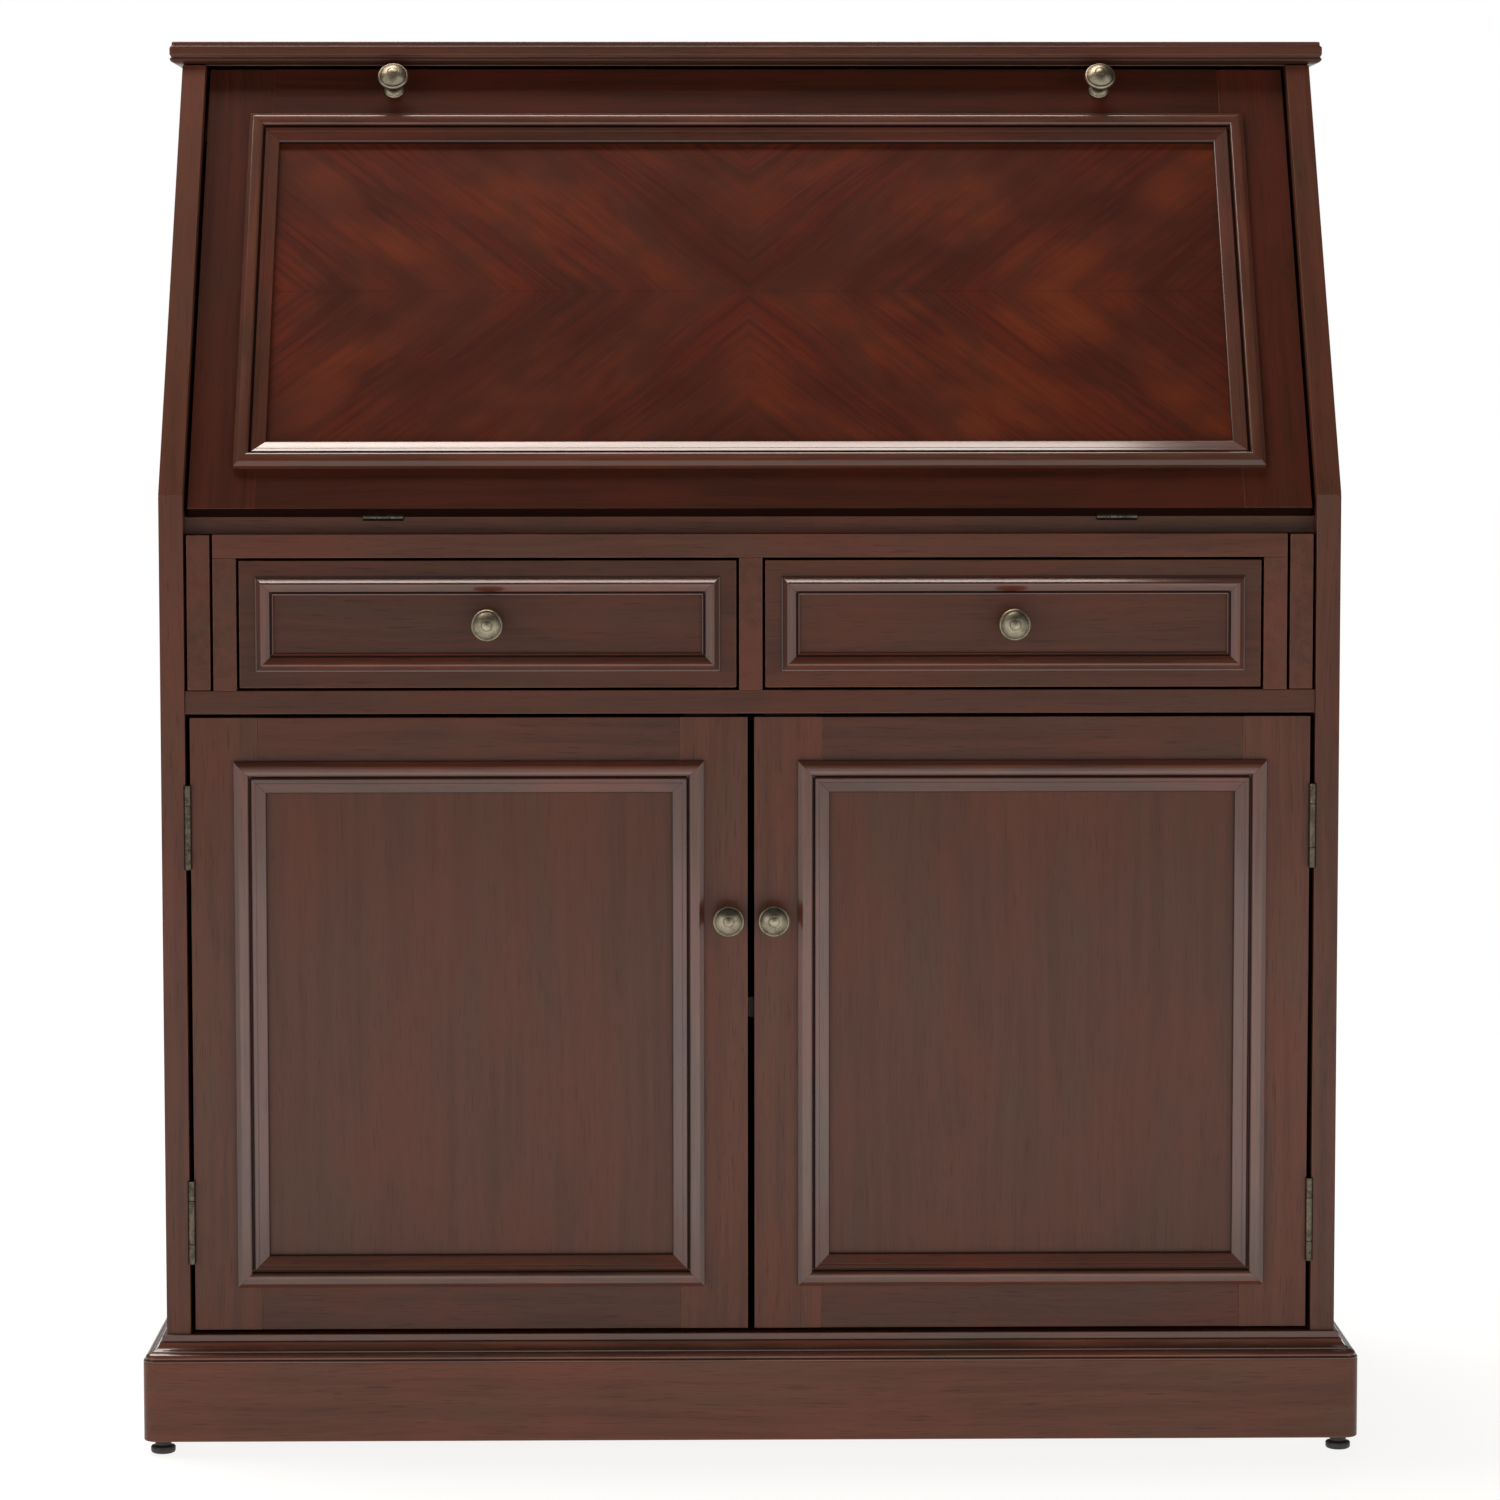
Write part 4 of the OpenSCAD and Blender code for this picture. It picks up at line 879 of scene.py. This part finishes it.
# screws round the back panel and into the mid rail, their heads just proud
mesh = bmesh.new()
lo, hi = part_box("back_panel")
mid_lo, mid_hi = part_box("mid_rail")
low, high = lo.z + 18 * MM, hi.z - 18 * MM
spots = [(side * (hi.x - 5 * MM), low + (high - low) * k / 6) for side in (-1, 1) for k in range(7)]
spots += [(hi.x * 0.31 * k, z) for k in (-1, 0, 1) for z in (low - 9 * MM, high + 9 * MM, (mid_lo.z + mid_hi.z) / 2)]
for x, z in spots:
    screw(mesh, shift(x, BACK_Y, z) @ spin(-90, "X"), 3.2 * MM)
small_piece("back_screws_metal", mesh, "back_panel", "steel", replaced=[])

# ---- Stage ----

FLOOR_HALF = 40.0
FLOOR_GLOW = 0.88
floor_mesh = bpy.data.meshes.new("studio_floor")
floor_mesh.from_pydata([(x * FLOOR_HALF, y * FLOOR_HALF, 0) for x, y in ((-1, -1), (1, -1), (1, 1), (-1, 1))],
                       [], [(0, 1, 2, 3)])
floor = bpy.data.objects.new("studio_floor", floor_mesh)
SCENE.collection.objects.link(floor)
floor_mat, tree, shader = principled("studio_floor")
where = put(tree, "ShaderNodeTexCoord").outputs["Object"]
tree.links.new(blend(tree, noise(tree, where, (3.0, 3.0, 3.0), 3.0), rgb(.21, .21, .21), rgb(.23, .23, .225)),
               shader.inputs["Base Color"])
shader.inputs["Roughness"].default_value = 0.9
shader.inputs["Specular IOR Level"].default_value = 0.0
shader.inputs["Emission Color"].default_value = rgb(1.0, .995, .985)
shader.inputs["Emission Strength"].default_value = FLOOR_GLOW
floor_mesh.materials.append(floor_mat)


def lamp(name, kind, energy, colour, source, spot=(0.0, 0.0, 0.0)):
    """A light at spot that shines from the direction source. Returns its object."""
    light = bpy.data.lights.new(name, kind)
    light.energy = energy
    light.color = colour
    made = bpy.data.objects.new(name, light)
    SCENE.collection.objects.link(made)
    made.location = spot
    made.rotation_euler = Vector(source).to_track_quat("Z", "Y").to_euler()
    return made


# Overhead soft light, a little behind the desk and to its left, and two low fills from the front corners
SOFT_WARM, NEUTRAL = (1.0, 0.93, 0.86), (1.0, 0.985, 0.96)
for name, energy, colour, width_deg, source in (("overhead", 2.2, SOFT_WARM, 42, (-0.30, 0.50, 1.0)),
                                                ("fill_left", 0.66, NEUTRAL, 44, (-0.80, -0.75, 0.10)),
                                                ("fill_right", 0.45, NEUTRAL, 44, (0.80, -0.75, 0.10))):
    lamp(name, "SUN", energy, colour, source).data.angle = math.radians(width_deg)

# A long overhead strip, mostly to the left, that the mouldings catch, and a low bounce in front of the desk
for name, power, colour, size, source, spot in (
        ("strip", 24.0, (1.0, 0.88, 0.80), (2.4, 0.30), (0, 0, 1), (-0.75, 0.02, 2.45)),
        ("bounce", 5.0, (1.0, 0.98, 0.95), (2.4, 0.8), (0, -0.66, -0.75), (0.0, -1.10, 0.04))):
    made = lamp(name, "AREA", power, colour, source, spot)
    made.data.shape = "RECTANGLE"
    made.data.size, made.data.size_y = size
    made.visible_camera = False

# Grey room below and at the horizon, darker overhead; the camera sees plain white
NADIR = 0.28
ROOM = [(0.49, 0.28), (0.56, 0.24), (0.66, 0.14), (0.78, 0.05), (0.90, 0.03), (1.0, 0.05)]
world = bpy.data.worlds.new("studio")
SCENE.world = world
world.use_nodes = True
tree = world.node_tree
tree.nodes.clear()
direction = put(tree, "ShaderNodeTexCoord").outputs["Generated"]
up = put(tree, "ShaderNodeSeparateXYZ", Vector=direction).outputs[2]
ramp = put(tree, "ShaderNodeValToRGB", Fac=calc(tree, "MULTIPLY_ADD", up, 0.5, 0.5))
stops = ramp.color_ramp.elements
stops.remove(stops[1])
stops[0].position, stops[0].color = 0.0, rgb(NADIR, NADIR, NADIR)
for at, value in ROOM:
    stops.new(at).color = rgb(value, value * 0.985, value * 0.96)
seen = put(tree, "ShaderNodeLightPath").outputs["Is Camera Ray"]
colour = blend(tree, seen, ramp.outputs[0], rgb(1.0, 1.0, 1.0))
sky = put(tree, "ShaderNodeBackground", Color=colour, Strength=1.0)
put(tree, "ShaderNodeOutputWorld", Surface=sky.outputs[0])

# ---- Camera, at eye level for the front view ----

EYE = (-0.0505, FRONT_Y - 3.5898, 0.8229)
FOCAL, SENSOR = 115.79, 36.0         # millimetres
PITCH, YAW, ROLL = [math.radians(a) for a in (4.676, 0.795, -0.044)]      # down, to the right, anticlockwise
cam = bpy.data.cameras.new("camera")
cam.lens, cam.sensor_width = FOCAL, SENSOR
cam.clip_start, cam.clip_end = 0.05, 120
camera = bpy.data.objects.new("camera", cam)
SCENE.collection.objects.link(camera)
ahead = Vector((math.sin(YAW) * math.cos(PITCH), math.cos(YAW) * math.cos(PITCH), -math.sin(PITCH)))
right = Vector((math.cos(YAW), -math.sin(YAW), 0))
upward = right.cross(ahead)
x_axis = math.cos(ROLL) * right + math.sin(ROLL) * upward
y_axis = math.cos(ROLL) * upward - math.sin(ROLL) * right
camera.matrix_world = shift(*EYE) @ Matrix((x_axis, y_axis, -ahead)).transposed().to_4x4()
SCENE.camera = camera
SCENE.view_settings.view_transform = "Standard"
